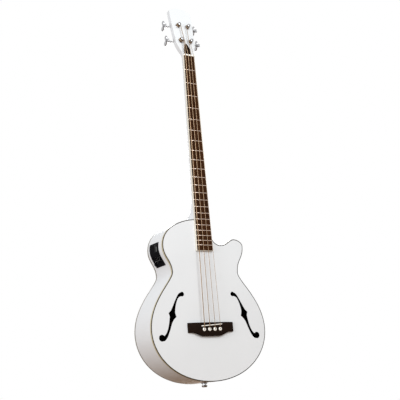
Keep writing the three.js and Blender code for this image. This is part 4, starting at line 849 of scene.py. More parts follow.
@dataclass
class SoundBox:
    """The hollow body: soundboard with its f-holes, back, sides, bindings and lines.

    An eye is its x, height and radius. The stem's edges are shares of the way from the upper eye to the
    lower one across, and from the lower to the upper along the body. The preamp's opening is its front,
    back, foot and head.
    """

    outline: Outline
    top_thickness: float = 3
    back_thickness: float = 3
    side_thickness: float = 2.5
    binding_width: float = 2.2
    binding_depth: float = 6
    line_depth: float = 1
    line_ease: float = 0.35
    # The dark line at the rear binding's front edge: partly an inlay, partly painted shadow widening the gap
    # before it.
    inlay_and_gap_shade: float = 0.9
    rear_ease: Line = ((0.0, 0.7), (0.25, 0.2), (0.8, 0.0))
    crown_height: float = 0.42
    crown_shares: Values = (0.04, 0.15, 0.28, 0.41, 0.54, 0.66, 0.77, 0.87, 0.95, 1)
    fit: float = 0.3
    upper_eye: Triple = (89.5, 259.5, 7)
    lower_eye: Triple = (166.5, 132, 9.9)
    outer_edge: Line = (
        (0.94, 0.03), (0.82, 0.085), (0.723, 0.19), (0.655, 0.325), (0.617, 0.44), (0.607, 0.49),
        (0.645, 0.563), (0.545, 0.62), (0.47, 0.69), (0.385, 0.785), (0.28, 0.9), (0.15, 1.01),
        (0.02, 1.045),
    )
    inner_edge: Line = (
        (-0.03, 0.96), (0.07, 0.945), (0.168, 0.915), (0.234, 0.852), (0.296, 0.76), (0.345, 0.64),
        (0.352, 0.56), (0.312, 0.475), (0.43, 0.41), (0.523, 0.325), (0.598, 0.212), (0.664, 0.122),
        (0.77, 0), (0.9, -0.07), (1.02, -0.065),
    )
    outer_nick: int = 6
    inner_nick: int = 7
    hole_steps: int = 5
    eye_sides: int = 40
    preamp: Quad = (29, 77, 354, 418)

    def hole_edge(self, side: int, shares: Sequence[Pair], nick: int) -> Plan:
        """Draws one edge of an f-hole's stem.

        Args:
            side: -1 on the bass side and 1 on the treble side.
            shares: Its places, as shares of the way between the eyes.
            nick: The number of the place that is its nick.

        Returns:
            The places along it.
        """
        (ux, uz, _), (lx, lz, _) = self.upper_eye, self.lower_eye
        corners = [(side * (ux + s * (lx - ux)), lz + t * (uz - lz)) for s, t in shares]
        low, high = corners[:nick + 1], corners[nick:]
        return smooth_line(low, self.hole_steps)[:-1] + smooth_line(high, self.hole_steps)

    def f_hole(self, side: int) -> list[Plan]:
        """Draws one f-hole as a stem and two eyes that overlap.

        Args:
            side: -1 on the bass side and 1 on the treble side.

        Returns:
            The three closed outlines.
        """
        stem = self.hole_edge(side, self.outer_edge, self.outer_nick)
        stem += self.hole_edge(side, self.inner_edge, self.inner_nick)
        plans = [stem]
        for across, up, radius in (self.upper_eye, self.lower_eye):
            plans.append([(side * across + x, up + z) for x, z in round_plan(radius, self.eye_sides)])
        return plans

    def make_top(self) -> None:
        """Makes the soundboard, with dark hole edges and, behind, spruce darkened as painted shade of the
        closed body.
        """
        white, dark, dark_underside = range(3)
        loops = [self.outline.inset(self.binding_width + self.fit)]
        for side in (-1, 1):
            loops += self.f_hole(side)
        loops = [loop if turns_left(loop) else loop[::-1] for loop in loops]
        points, faces = [], []
        for loop in loops:
            faces.append(list(range(len(points), len(points) + len(loop))))
            points += [Vector(p) for p in loop]
        flat, _, triangles, _, _, origin = delaunay_2d_cdt(points, [], faces, INSIDE_TRIANGLES, NEAR)
        kept = [tri for tri, found in zip(triangles, origin) if list(found) == [0]]
        count = len(flat)
        shape = Shape([Vector((p.x, depth, p.y)) for depth in (0, self.top_thickness) for p in flat])
        for tri in kept:
            shape.face(tri, white)
            shape.face([i + count for i in reversed(tri)], dark_underside)
        edges = [pair for tri in kept for pair in zip(tri, tri[1:] + tri[:1])]
        shared, rim = set(edges), {near(place) for place in loops[0]}
        for a, b in edges:
            if (b, a) not in shared:
                shape.face((b, a, a + count, b + count), white if near(flat[a]) in rim else dark)
        make("soundboard", shape, [WHITE_LACQUER, HOLE_EDGE, SHADE_DARKENED_SPRUCE],
             stands_for=["top_plate"], angle=30)

    def crown_rings(self, plan: Plan, inwards: float) -> list[list[Vector]]:
        """Draws the rings of one face of the back.

        Args:
            plan: Its outline.
            inwards: How far it lies in front of the outer face.

        Returns:
            The rings, from the middle to the outline.
        """
        centre = Vector((0, self.outline.length * self.crown_height))
        rings = []
        for share in self.crown_shares:
            places = [centre.lerp(Vector(corner), share) for corner in plan]
            rings.append([Vector((x, self.outline.depth(x, z) - inwards, z)) for x, z in places])
        return rings

    def make_back(self) -> None:
        """Makes the crowned back, lacquered outside and near-black inside as painted shade of the closed
        body.
        """
        plan = self.outline.inset(self.binding_width + self.fit)
        outside, inside = self.crown_rings(plan, 0), self.crown_rings(plan, self.back_thickness)
        shape = Shape().loft(outside, 0, caps=False).loft(inside, 1, caps=False)
        shape.loft([outside[-1], inside[-1]], 0, caps=False)
        for mark, rings in enumerate((outside, inside)):
            start = mark * len(rings) * len(plan)
            shape.face(range(start, start + len(plan)), mark)
        make("back", shape, [WHITE_LACQUER, PAINTED_SHADE_INSIDE], stands_for=["back_plate"], angle=50)

    def make_side(self, name: str, node: str, places: Plan, opening: bool) -> None:
        """Makes one side, lacquered outside and near-black inside as painted shade of the closed body.

        Args:
            name: The piece's name.
            node: The frame's node that it replaces.
            places: The rim's places that it follows.
            opening: Whether the preamp's opening is cut in it.
        """
        front = self.line_depth + self.binding_depth
        low, high, foot, head = self.preamp
        index = {p: i for i, p in enumerate(self.outline.rim)}
        outer, inner = self.outline.inset(0), self.outline.inset(self.side_thickness)
        stations = [(outer[index[p]], inner[index[p]]) for p in places]
        if opening:
            stations = self.split(self.split(stations, foot), head)
        shape = Shape()
        for (ox, oz), (ix, iz) in stations:
            behind = self.outline.depth(ox, oz) - self.binding_depth - self.fit
            depths = (front, low, high, behind)
            shape.points += [Vector((ox, y, oz)) for y in depths] + [Vector((ix, y, iz)) for y in depths]
        rows, step = SIDE_ROWS, 2 * SIDE_ROWS
        for i in range(len(stations) - 1):
            here, there = i * step, (i + 1) * step
            middle = (stations[i][0][1] + stations[i + 1][0][1]) / 2
            for j in range(rows - 1):
                if opening and j == 1 and foot < middle < head:
                    continue
                shape.face((here + j, there + j, there + j + 1, here + j + 1), 0)
                shape.face((here + rows + j, here + rows + j + 1, there + rows + j + 1, there + rows + j), 1)
            shape.face((here, here + rows, there + rows, there), 0)
            shape.face((here + rows - 1, there + rows - 1, there + step - 1, here + step - 1), 0)
        for end in (0, (len(stations) - 1) * step):
            for j in range(rows - 1):
                shape.face((end + j, end + j + 1, end + rows + j + 1, end + rows + j), 0)
        if opening:
            self.line_opening(shape, stations)
        make(name, shape, [WHITE_LACQUER, PAINTED_SHADE_INSIDE], stands_for=[node], angle=50)

    def split(self, stations: Ribs, height: float) -> Ribs:
        """Adds a station at a height where the side crosses it near the preamp.

        Args:
            stations: The outer and the inner place of each station.
            height: The height.

        Returns:
            The stations with the new one.
        """
        found = []
        for here, there in zip(stations, stations[1:]):
            found.append(here)
            z0, z1 = here[0][1], there[0][1]
            if min(z0, z1) < height < max(z0, z1) and here[0][0] < -self.outline.cutaway_reach:
                share = (height - z0) / (z1 - z0)
                found.append(tuple(
                    (blend(a[0], b[0], share), blend(a[1], b[1], share)) for a, b in zip(here, there)
                ))
        return found + [stations[-1]]

    def line_opening(self, shape: Shape, stations: Ribs) -> None:
        """Closes the edges of the preamp's opening between the outer and the inner face.

        Args:
            shape: The side, which is changed.
            stations: The outer and the inner place of each station.
        """
        rows, step = SIDE_ROWS, 2 * SIDE_ROWS
        foot, head = self.preamp[2] - NEAR, self.preamp[3] + NEAR
        inside = [i * step for i, (outer, _) in enumerate(stations) if foot <= outer[1] <= head]
        for i, j in zip(inside, inside[1:]):
            for r in (1, 2):
                a, b = i + r, j + r
                shape.face((a, b, b + rows, a + rows), 0)
        for a in (inside[0], inside[-1]):
            shape.face((a + 1, a + 2, a + 2 + rows, a + 1 + rows), 0)

    def rear_section(self, depth: float) -> Plan:
        """Draws the rear binding's section, its dark line first and its outer edge eased; the line is an
        inlay that also paints a widened shadow of the gap in front of it.

        Args:
            depth: The depth of the back there.

        Returns:
            The inset and the depth of each corner.
        """
        front, width = depth - self.binding_depth, self.binding_width
        eased = [(inward, depth - ahead) for inward, ahead in self.rear_ease]
        return [(0.0, front), (0.0, front + self.inlay_and_gap_shade), *eased, (width, depth), (width, front)]

    def make_trim(self) -> None:
        """Makes the line round the soundboard and the two bindings."""
        rim = self.outline.rim
        width, front, ease = self.binding_width, self.line_depth, self.line_ease
        back = front + self.binding_depth
        line = [(ease, 0.0), (width, 0.0), (width, front), (0.0, front), (0.0, ease)]
        binding = [(0.0, front), (width, front), (width, back), (0.0, back)]
        for name, section, finish, slot, node in (
            ("rim_line", line, BLACK_LINE, "black_line", "top_purfling"),
            ("front_binding", binding, TAN_CREAM, "cream_binding", "top_binding"),
        ):
            shape = Shape().loft(strip(self.outline, [section] * len(rim)), ring=True)
            make(name, shape, [finish], stands_for=[node], angle=50)
        sections = [self.rear_section(self.outline.depth(x, z)) for x, z in rim]
        shape = Shape().loft(strip(self.outline, sections), ring=True)
        # The first face of each section, the dark line, is partly inlay and partly painted shadow of the gap
        # between side and binding.
        for number in range(0, len(shape.faces), len(sections[0])):
            shape.marks[number] = 1
        make("rear_binding", shape, [REAR_EDGE, BLACK_LINE], stands_for=["back_binding"],
             angle=50)

    def make(self) -> None:
        """Makes the whole box."""
        self.make_top()
        self.make_back()
        rim, middle = self.outline.rim, self.outline.top_centre
        self.make_side("bass_side", "rib_bass", rim[:middle + 1], True)
        self.make_side("treble_side", "rib_treble", rim[middle:] + rim[:1], False)
        self.make_trim()
        LOG.info("sound box: soundboard, back, two sides, one line and two bindings")


# Bridge and strings


@dataclass
class Stringing:
    """The strings, and the places that they share with the bridge, the nut and the posts.

    ball_ends are the depths of the ball's two ends and of the string behind it, and bend is how deep and
    how high the string lies at each place where it turns out of the pin's hole.
    """

    radii: Values = (1.25, 1, 0.8, 0.58)
    turns: tuple[int, ...] = (2, 2, 2, 3)
    sides: tuple[int, ...] = (-1, -1, 1, 1)
    rows: Values = (54, 112, 112, 54)
    bridge_spacing: float = 18.6
    nut_spacing: float = 10.2
    nut_height: float = 1030.39
    nut_thickness: float = 5
    nut_rise: float = 9.4
    saddle_height: float = 165.19
    saddle_rise: float = 12.2
    saddle_length: float = 72
    saddle_thickness: float = 3
    slant: float = 4.4
    pin_setback: float = 12.4
    pin_string: float = 3.1
    ball_radius: float = 2.1
    ball_ends: Triple = (10.6, 6.6, 6.3)
    bend: Line = ((1.2, 0), (0.25, 0.3), (-0.1, 1.2))
    bridge_thickness: float = 9.5
    post_reach: float = 17.8
    post_radius: float = 4.6
    flange_height: float = 1.6
    turn_gap: float = 0.5
    tilt: float = math.radians(10.5)
    fit: float = 0.3
    turn_steps: int = 44
    tube_sides: int = 12

    @property
    def nut_top(self) -> float:
        """The height of the nut's upper face."""
        return self.nut_height + self.nut_thickness

    @property
    def pin_height(self) -> float:
        """The height of the pins."""
        return self.saddle_height - self.pin_setback

    @property
    def head(self) -> Matrix:
        """The matrix from the head's own frame, with z along its face, to the maker's."""
        return Matrix.Translation((0, 0, self.nut_top)) @ spin(-self.tilt, "X")

    @property
    def middle(self) -> float:
        """The number that would be the middle string's."""
        return (len(self.radii) - 1) / 2

    def at_bridge(self, k: int) -> float:
        """Gives the x of a string at the bridge."""
        return (k - self.middle) * self.bridge_spacing

    def at_nut(self, k: int) -> float:
        """Gives the x of a string at the nut."""
        return (k - self.middle) * self.nut_spacing

    def winding(self, k: int) -> list[Vector]:
        """Lays out the turns of one string about its post.

        Args:
            k: The string, 0 for the lowest.

        Returns:
            The points of its middle line, with a short straight end.
        """
        radius, side, row_height = self.radii[k], self.sides[k], self.rows[k]
        turn_radius = self.post_radius + self.fit + radius
        pitch = 2 * radius + self.turn_gap
        first = -self.flange_height - 3 * self.fit - radius - self.turns[k] * pitch
        dx, dz = self.at_nut(k) - side * self.post_reach, -row_height
        start = math.atan2(dz, dx) - side * math.acos(turn_radius / math.hypot(dx, dz))
        points = []
        for i in range(self.turns[k] * self.turn_steps + 1):
            angle = start - side * i * 2 * math.pi / self.turn_steps
            points.append(self.head @ Vector((
                side * self.post_reach + turn_radius * math.cos(angle), first + pitch * i / self.turn_steps,
                row_height + turn_radius * math.sin(angle),
            )))
        return points + [points[-1] + (points[-1] - points[-2]).normalized() * 2 * radius]

    def route(self, k: int) -> tuple[list[Vector], list[float]]:
        """Lays out one string from its ball end to its last turn.

        Args:
            k: The string, 0 for the lowest.

        Returns:
            The points of its middle line, and its radius at each.
        """
        radius, x, hole = self.radii[k], self.at_bridge(k), self.pin_height + self.pin_string
        slope = self.slant * x / self.saddle_length
        saddle_z = self.saddle_height + slope - self.saddle_thickness / 2 - self.fit
        lift, rise = self.saddle_rise + self.fit / 3 + radius, self.nut_rise + radius / 2
        corner = -self.bridge_thickness - radius
        points = [Vector((x, depth, hole)) for depth in self.ball_ends]
        points += [Vector((x, depth, z)) for depth, z in beyond(corner, hole, self.bend)]
        points.append(Vector((x, -lift, saddle_z)))
        points += [Vector((self.at_nut(k), -rise, z)) for z in (self.nut_height, self.nut_top)]
        points += self.winding(k)
        return points, [self.ball_radius] * 2 + [radius] * (len(points) - 2)

    def tube(self, points: list[Vector], radii: list[float]) -> Shape:
        """Gives a round tube.

        Args:
            points: Its middle line.
            radii: Its radius at each point.

        Returns:
            The shape.
        """
        guide, rings = Vector((1, 0, 0)), []
        for i, point in enumerate(points):
            ahead = (points[min(i + 1, len(points) - 1)] - points[max(i - 1, 0)]).normalized()
            guide = (guide - ahead * guide.dot(ahead)).normalized()
            upright = ahead.cross(guide)
            rings.append([
                point + (guide * a + upright * b) * radii[i] for a, b in round_plan(1, self.tube_sides)
            ])
        return Shape().loft(rings)

    def make(self) -> None:
        """Makes the four wound strings."""
        for k in range(len(self.radii)):
            make(f"wound_string_{k + 1}", self.tube(*self.route(k)), [BRONZE],
                 stands_for=[f"string_{k + 1}"], angle=60)
        LOG.info("strings: %d", len(self.radii))


@dataclass
class Bridge:
    """The rosewood bridge with its slanted saddle and four pins.

    An ease is a row of places: how far each lies from the end, and how much lower the piece is there.
    head_line is the pin's head, as shares of its radius and depths below its top.
    """

    strings: Stringing
    width: float = 158
    top_edge: float = 8.5
    length: float = 29
    belly: float = 11.5
    belly_width: float = 130
    belly_ramp: float = 0.6
    wing_thickness: float = 4.5
    wing_length: float = 26
    wing_curve: float = 0.35
    round_over: float = 1.6
    edge_steps: int = 4
    end_ease: Line = ((0, 0.8), (0.25, 0.28), (0.8, 0))
    margin: float = 2
    row_count: int = 60
    cut: float = 8
    cut_edge: float = 0.2
    slot_margin: float = 1.2
    saddle_foot: float = -1.6
    saddle_ease: Line = ((0, 1), (0.4, 0.3), (1.2, 0))
    saddle_steps: int = 8
    pin_head: float = 5.5
    pin_head_height: float = 3.4
    pin_shank: float = 2.6
    pin_length: float = 15.2
    pin_taper: float = 0.7
    pin_collar: float = 0.84
    pin_sides: int = 40
    dot_line: Line = ((0, 0.1), (1.7, 0.12), (1.9, 0))
    head_line: Line = (
        (0.62, 0.22), (0.86, 0.8), (0.98, 1.6), (1, 2.3), (0.95, 2.7), (0.8, 2.85),
    )

    def section(self, x: float, shrink: float) -> list[Vector]:
        """Draws the bridge's section at a place across it.

        Args:
            x: The place.
            shrink: How much smaller it is made, near an end.

        Returns:
            The ring of its corners.
        """
        half = self.width / 2
        thickness = self.strings.bridge_thickness
        if abs(x) > half - self.wing_length:
            share = (abs(x) - half + self.wing_length) / self.wing_length
            curved = (1 - math.cos(share * math.pi)) / 2
            fall = curved * self.wing_curve + share * (1 - self.wing_curve)
            thickness = blend(thickness, self.wing_thickness, fall)
        thickness -= shrink
        top = self.strings.saddle_height + self.top_edge - shrink
        foot = self.strings.saddle_height + self.top_edge - self.length + shrink
        if abs(x) < self.belly_width / 2:
            share = min((1 - abs(x) / (self.belly_width / 2)) / self.belly_ramp, 1)
            foot -= self.belly * share * share * (3 - 2 * share)
        r = min(self.round_over, thickness / 2)
        turns = evenly(0, QUARTER, self.edge_steps)
        eased = [(-thickness + r * (1 - math.sin(t)), r * (1 - math.cos(t))) for t in turns]
        low = [(0, foot), *((y, foot + up) for y, up in eased)]
        high = [*((y, top - up) for y, up in reversed(eased)), (0, top)]
        return [Vector((x, y, z)) for y, z in low + high]

    def make_base(self) -> None:
        """Makes the bridge itself, with a slot for each string."""
        s, half = self.strings, self.width / 2
        left, right = both_ends(half, self.end_ease)
        inner = half - self.margin
        places = [*left, *((x, 0) for x in evenly(-inner, inner, self.row_count)), *right]
        shape = Shape().loft([self.section(x, shrink) for x, shrink in places])
        cutters = []
        for k, radius in enumerate(s.radii):
            wide = radius + s.fit
            reach = s.pin_string + wide + self.slot_margin
            slot = bar(2 * wide, self.cut, reach, self.cut_edge)
            cutters.append(slot.moved(shift(s.at_bridge(k), -s.bridge_thickness, s.pin_height + reach / 2)))
        make("bridge_body", shape, [DARK_ROSEWOOD], stands_for=["bridge"],
             cutters=cutters)

    def make_saddle(self) -> None:
        """Makes the saddle, rounded on top and slanted for the bass strings."""
        s = self.strings
        half, thick, foot = s.saddle_length / 2, s.saddle_thickness / 2, self.saddle_foot
        turns = evenly(0, math.pi, self.saddle_steps)
        left, right = both_ends(half, self.saddle_ease)
        rings = []
        for x, drop in [*left, (0, 0), *right]:
            top = drop - s.saddle_rise
            arc = [(top + thick * (1 - math.sin(t)), -thick * math.cos(t)) for t in turns]
            rings.append([Vector((x, y, z)) for y, z in [(foot, -thick), *arc, (foot, thick)]])
        turn = spin(-math.atan2(s.slant, s.saddle_length), "Y")
        shape = Shape().loft(rings).moved(shift(0, 0, s.saddle_height) @ turn)
        make("saddle_bone", shape, [BONE], stands_for=["saddle"], angle=50)

    def make_pins(self) -> None:
        """Makes the four pins, with collars, dark dots and a groove for the string."""
        s, shank = self.strings, self.pin_shank
        seat = -s.bridge_thickness - s.fit
        top, foot, sides = seat - self.pin_head_height, seat + self.pin_length, self.pin_sides
        profile = beyond(0, top, self.dot_line)
        profile += [(self.pin_head * out, top + down) for out, down in self.head_line]
        profile += [(self.pin_head * self.pin_collar, seat), (shank, seat)]
        profile += [(shank * self.pin_taper, foot), (0, foot)]
        for k, radius in enumerate(s.radii):
            shape = Shape().turned(profile, sides)
            shape.marks[:sides] = [1] * sides
            wide = radius + s.fit
            groove = bar(2 * wide, self.pin_length + 1.5 * self.cut, self.cut, self.cut_edge)
            groove = groove.moved(shift(0, seat + self.cut / 2, s.pin_string - wide + self.cut / 2))
            place = shift(s.at_bridge(k), 0, s.pin_height)
            make(f"pin_{k + 1}", shape.moved(place), [BONE, GLOSS_BLACK],
                 stands_for=[f"bridge_pin_{k + 1}"], angle=50, cutters=[groove.moved(place)])

    def make(self) -> None:
        """Makes the whole bridge."""
        self.make_base()
        self.make_saddle()
        self.make_pins()
        LOG.info("bridge: base, saddle and four pins")


# Neck


@dataclass
class Neck:
    """The neck with its heel and head, the bound fingerboard, frets, nut and truss rod cover.

    A row of the head is a share of its length, how far it flares there, how far it widens to the top and
    how far it is squared up. square_path is a share of the way round the back, and how far across and how
    deep the squared section is there.
    """

    strings: Stringing
    outline: Outline
    scale: float = 864
    frets: int = 22
    nut_width: float = 40.4
    end_width: float = 57
    overhang: float = 17.5
    board_thickness: float = 6.5
    binding: float = 1.0
    slot_half: float = 0.3
    slot_depth: float = 1.5
    depth_at_nut: float = 17
    depth_at_heel: float = 20
    heel_rise: float = 78
    heel_swell: float = 5
    heel_sharpness: float = 2.6
    fullness: float = 0.8
    cap_thickness: float = 2.4
    head_thickness: float = 16
    head_length: float = 172
    crest: float = 11.05
    crest_ease: float = 0.3
    flare_width: float = 70
    top_width: float = 79
    fret_width: float = 2.4
    fret_height: float = 1.1
    fret_inset: float = 0.6
    fret_seat: float = 0.4
    fret_ease: Line = ((0, 0.25), (0.35, 0.8), (0.9, 1))
    fret_steps: int = 8
    cover_length: float = 45
    cover_width: float = 24
    cover_thickness: float = 1.8
    cover_foot: float = 0.6
    cover_edge: float = 0.7
    cover_line: Line = ((1, 0), (1, 0.3), (0.93, 0.5), (0.72, 0.7), (0.4, 0.88), (0, 1))
    cover_steps: int = 5
    cover_screw: Pair = (1.9, 0.5)
    cover_screws: Line = ((-0.72, 5.6), (0.72, 5.6), (0, 39.3))
    head_rows: tuple[Quad, ...] = (
        (0, 0, 0, 0.35), (0.05, 0, 0, 0.7), (0.12, 0.34, 0, 1), (0.2, 0.74, 0, 1), (0.27, 1, 0, 1),
        (0.34, 1, 0.08, 1), (0.62, 1, 0.7, 1), (0.86, 1, 1, 1), (0.97, 1, 1, 1),
    )
    head_steps: int = 4
    square_path: tuple[Triple, ...] = (
        (0, 1, 0), (0.1, 1, 0.5), (0.2, 1, 1), (0.8, -1, 1), (0.9, -1, 0.5), (1, -1, 0),
    )
    front_steps: int = 8
    back_steps: int = 30
    heel_steps: int = 24
    grip_steps: int = 12

    def fret_at(self, number: int) -> float:
        """Gives the height of a fret."""
        return self.strings.nut_height - self.scale * (1 - 2 ** (-number / 12))

    @property
    def board_end(self) -> float:
        """The height of the board's lower end."""
        return self.fret_at(self.frets) - self.overhang

    def half(self, z: float) -> float:
        """Gives half the board's width at a height."""
        share = (self.strings.nut_height - z) / (self.strings.nut_height - self.board_end)
        return blend(self.nut_width, self.end_width, share) / 2

    def section(self, half: float, depth: float, square: float, limit: float) -> list[Triple]:
        """Draws a section of the neck: flat in front, round behind, squared up towards the head.

        Args:
            half: Half its width.
            depth: Its depth at the middle.
            square: How far it is squared up, from 0 to 1.
            limit: The most that it reaches back.

        Returns:
            The x, the depth and the share across of each corner.
        """
        corners = [(share * half, 0.0, share) for share in evenly(-1, 1, self.front_steps)]
        path = self.square_path
        for u in evenly(0, 1, self.back_steps)[1:-1]:
            (u0, a0, d0), (u1, a1, d1) = next((p, q) for p, q in zip(path, path[1:]) if p[0] <= u <= q[0])
            share = (u - u0) / (u1 - u0)
            across, deep = blend(a0, a1, share), blend(d0, d1, share)
            x = blend(math.cos(math.pi * u), across, square) * half
            y = blend(math.sin(math.pi * u) ** self.fullness, deep, square) * depth
            corners.append((x, min(y, limit), x / half))
        return corners

    def grip_ring(self, z: float, depth: float, limit: float) -> list[Vector]:
        """Gives the neck's ring at a height below the nut."""
        return [Vector((x, y, z)) for x, y, _ in self.section(self.half(z), depth, 0, limit)]

    def make_wood(self) -> None:
        """Makes the neck, from the heel to the crest of the head."""
        nut_top, length, thick = self.strings.nut_top, self.outline.length, self.head_thickness
        limit = self.outline.depth(0, length) - self.cap_thickness - self.strings.fit
        root = limit + self.cap_thickness + self.heel_swell
        rings = []
        for share in evenly(0, 1, self.heel_steps):
            depth = blend(self.depth_at_heel, root, (1 - share) ** self.heel_sharpness)
            rings.append(self.grip_ring(length + share * self.heel_rise, depth, limit))
        for z in evenly(length + self.heel_rise, nut_top, self.grip_steps)[1:-1]:
            depth = blend(self.depth_at_heel, self.depth_at_nut, (z - length) / (nut_top - length))
            rings.append(self.grip_ring(z, depth, depth))
        head = self.strings.head
        for place, *shares in smooth_line(self.head_rows, self.head_steps):
            flare, top, square = (min(max(share, 0), 1) for share in shares)
            width = blend(blend(self.nut_width, self.flare_width, flare), self.top_width, top)
            corners = self.section(width / 2, thick, square, thick)
            rings.append([head @ Vector((x, y, place * self.head_length)) for x, y, _ in corners])
        corners = self.section(self.top_width / 2 - self.crest_ease, thick, 1, thick)
        rings.append([
            head @ Vector((x, y, self.head_length + self.crest * math.cos(across * QUARTER)))
            for x, y, across in corners
        ])
        make("neck_wood", Shape().loft(rings), [WHITE_LACQUER], stands_for=["neck"],
             bevel=0.9, angle=48)

    def make_board(self) -> None:
        """Makes the fingerboard with its fret slots, and the binding round its sides and lower end."""
        top, foot, b = self.strings.nut_height, self.board_end, self.binding
        front = -self.board_thickness
        floor = front + self.slot_depth
        stops = [(foot + b, front)]
        for number in range(self.frets, 0, -1):
            z = self.fret_at(number)
            low, high = z - self.slot_half, z + self.slot_half
            stops += [(low, front), (low, floor), (high, floor), (high, front)]
        rings = []
        for z, y in [*stops, (top, front)]:
            half = self.half(z) - b
            corners = ((-half, y), (half, y), (half, 0), (-half, 0))
            rings.append([Vector((x, depth, z)) for x, depth in corners])
        make("fingerboard_wood", Shape().loft(rings), [ROSEWOOD], stands_for=["fingerboard"],
             angle=38)
        wide, narrow = self.half(foot), self.half(top)
        outer = [(-narrow, top), (-wide, foot), (wide, foot), (narrow, top)]
        inner = [(narrow - b, top), (wide - b, foot + b), (b - wide, foot + b), (b - narrow, top)]
        make("board_binding", Shape().slab(outer + inner, front, 0), [CREAM],
             stands_for=["fingerboard_binding"], bevel=0.35, angle=50)

    def make_frets(self) -> None:
        """Makes the crowned frets."""
        face, half = -self.board_thickness, self.fret_width / 2
        turns = evenly(0, math.pi, self.fret_steps)
        shape = Shape()
        for number in range(1, self.frets + 1):
            z = self.fret_at(number)
            left, right = both_ends(self.half(z) - self.fret_inset, self.fret_ease)
            rings = []
            for x, share in left + right:
                lift = self.fret_height * share
                foot = [(face + self.fret_seat, z + half), (face + self.fret_seat, z - half)]
                crown = [(face - lift * math.sin(t), z - half * math.cos(t)) for t in turns]
                rings.append([Vector((x, depth, height)) for depth, height in foot + crown])
            shape.loft(rings)
        make("fret_wires", shape, [FRET_SILVER], stands_for=["frets"], angle=60)

    def make_cover(self) -> None:
        """Makes the bell-shaped truss rod cover with its three screws."""
        half, foot, back = self.cover_width / 2, self.cover_foot, -self.strings.fit
        line = smooth_line(self.cover_line, self.cover_steps)
        right = [(across * half, foot + up * self.cover_length) for across, up in line]
        plan = right + [(-x, z) for x, z in reversed(right[:-1])]
        front = back - self.cover_thickness
        shape = Shape().slab(plan, front, back, self.cover_edge)
        radius, height = self.cover_screw
        for across, z in self.cover_screws:
            head = screw(radius, height)
            head.marks = [mark + 1 for mark in head.marks]
            shape.add(head, shift(across * half, front + height, z))
        # The screws' crosses take gloss black: painted shade of their recesses.
        make("rod_cover", shape.moved(self.strings.head), [DARK_ROSEWOOD, CHROME, GLOSS_BLACK],
             stands_for=["truss_rod_cover"])

    def make(self) -> None:
        """Makes the whole neck."""
        self.make_wood()
        self.make_board()
        self.make_frets()
        self.make_cover()
        refine("nut", BONE, 0.3)
        refine("heel_cap", DARK_ROSEWOOD, 0.5)
        LOG.info("neck: wood, board, binding, %d frets, nut, cover and heel cap", self.frets)


# Tuners


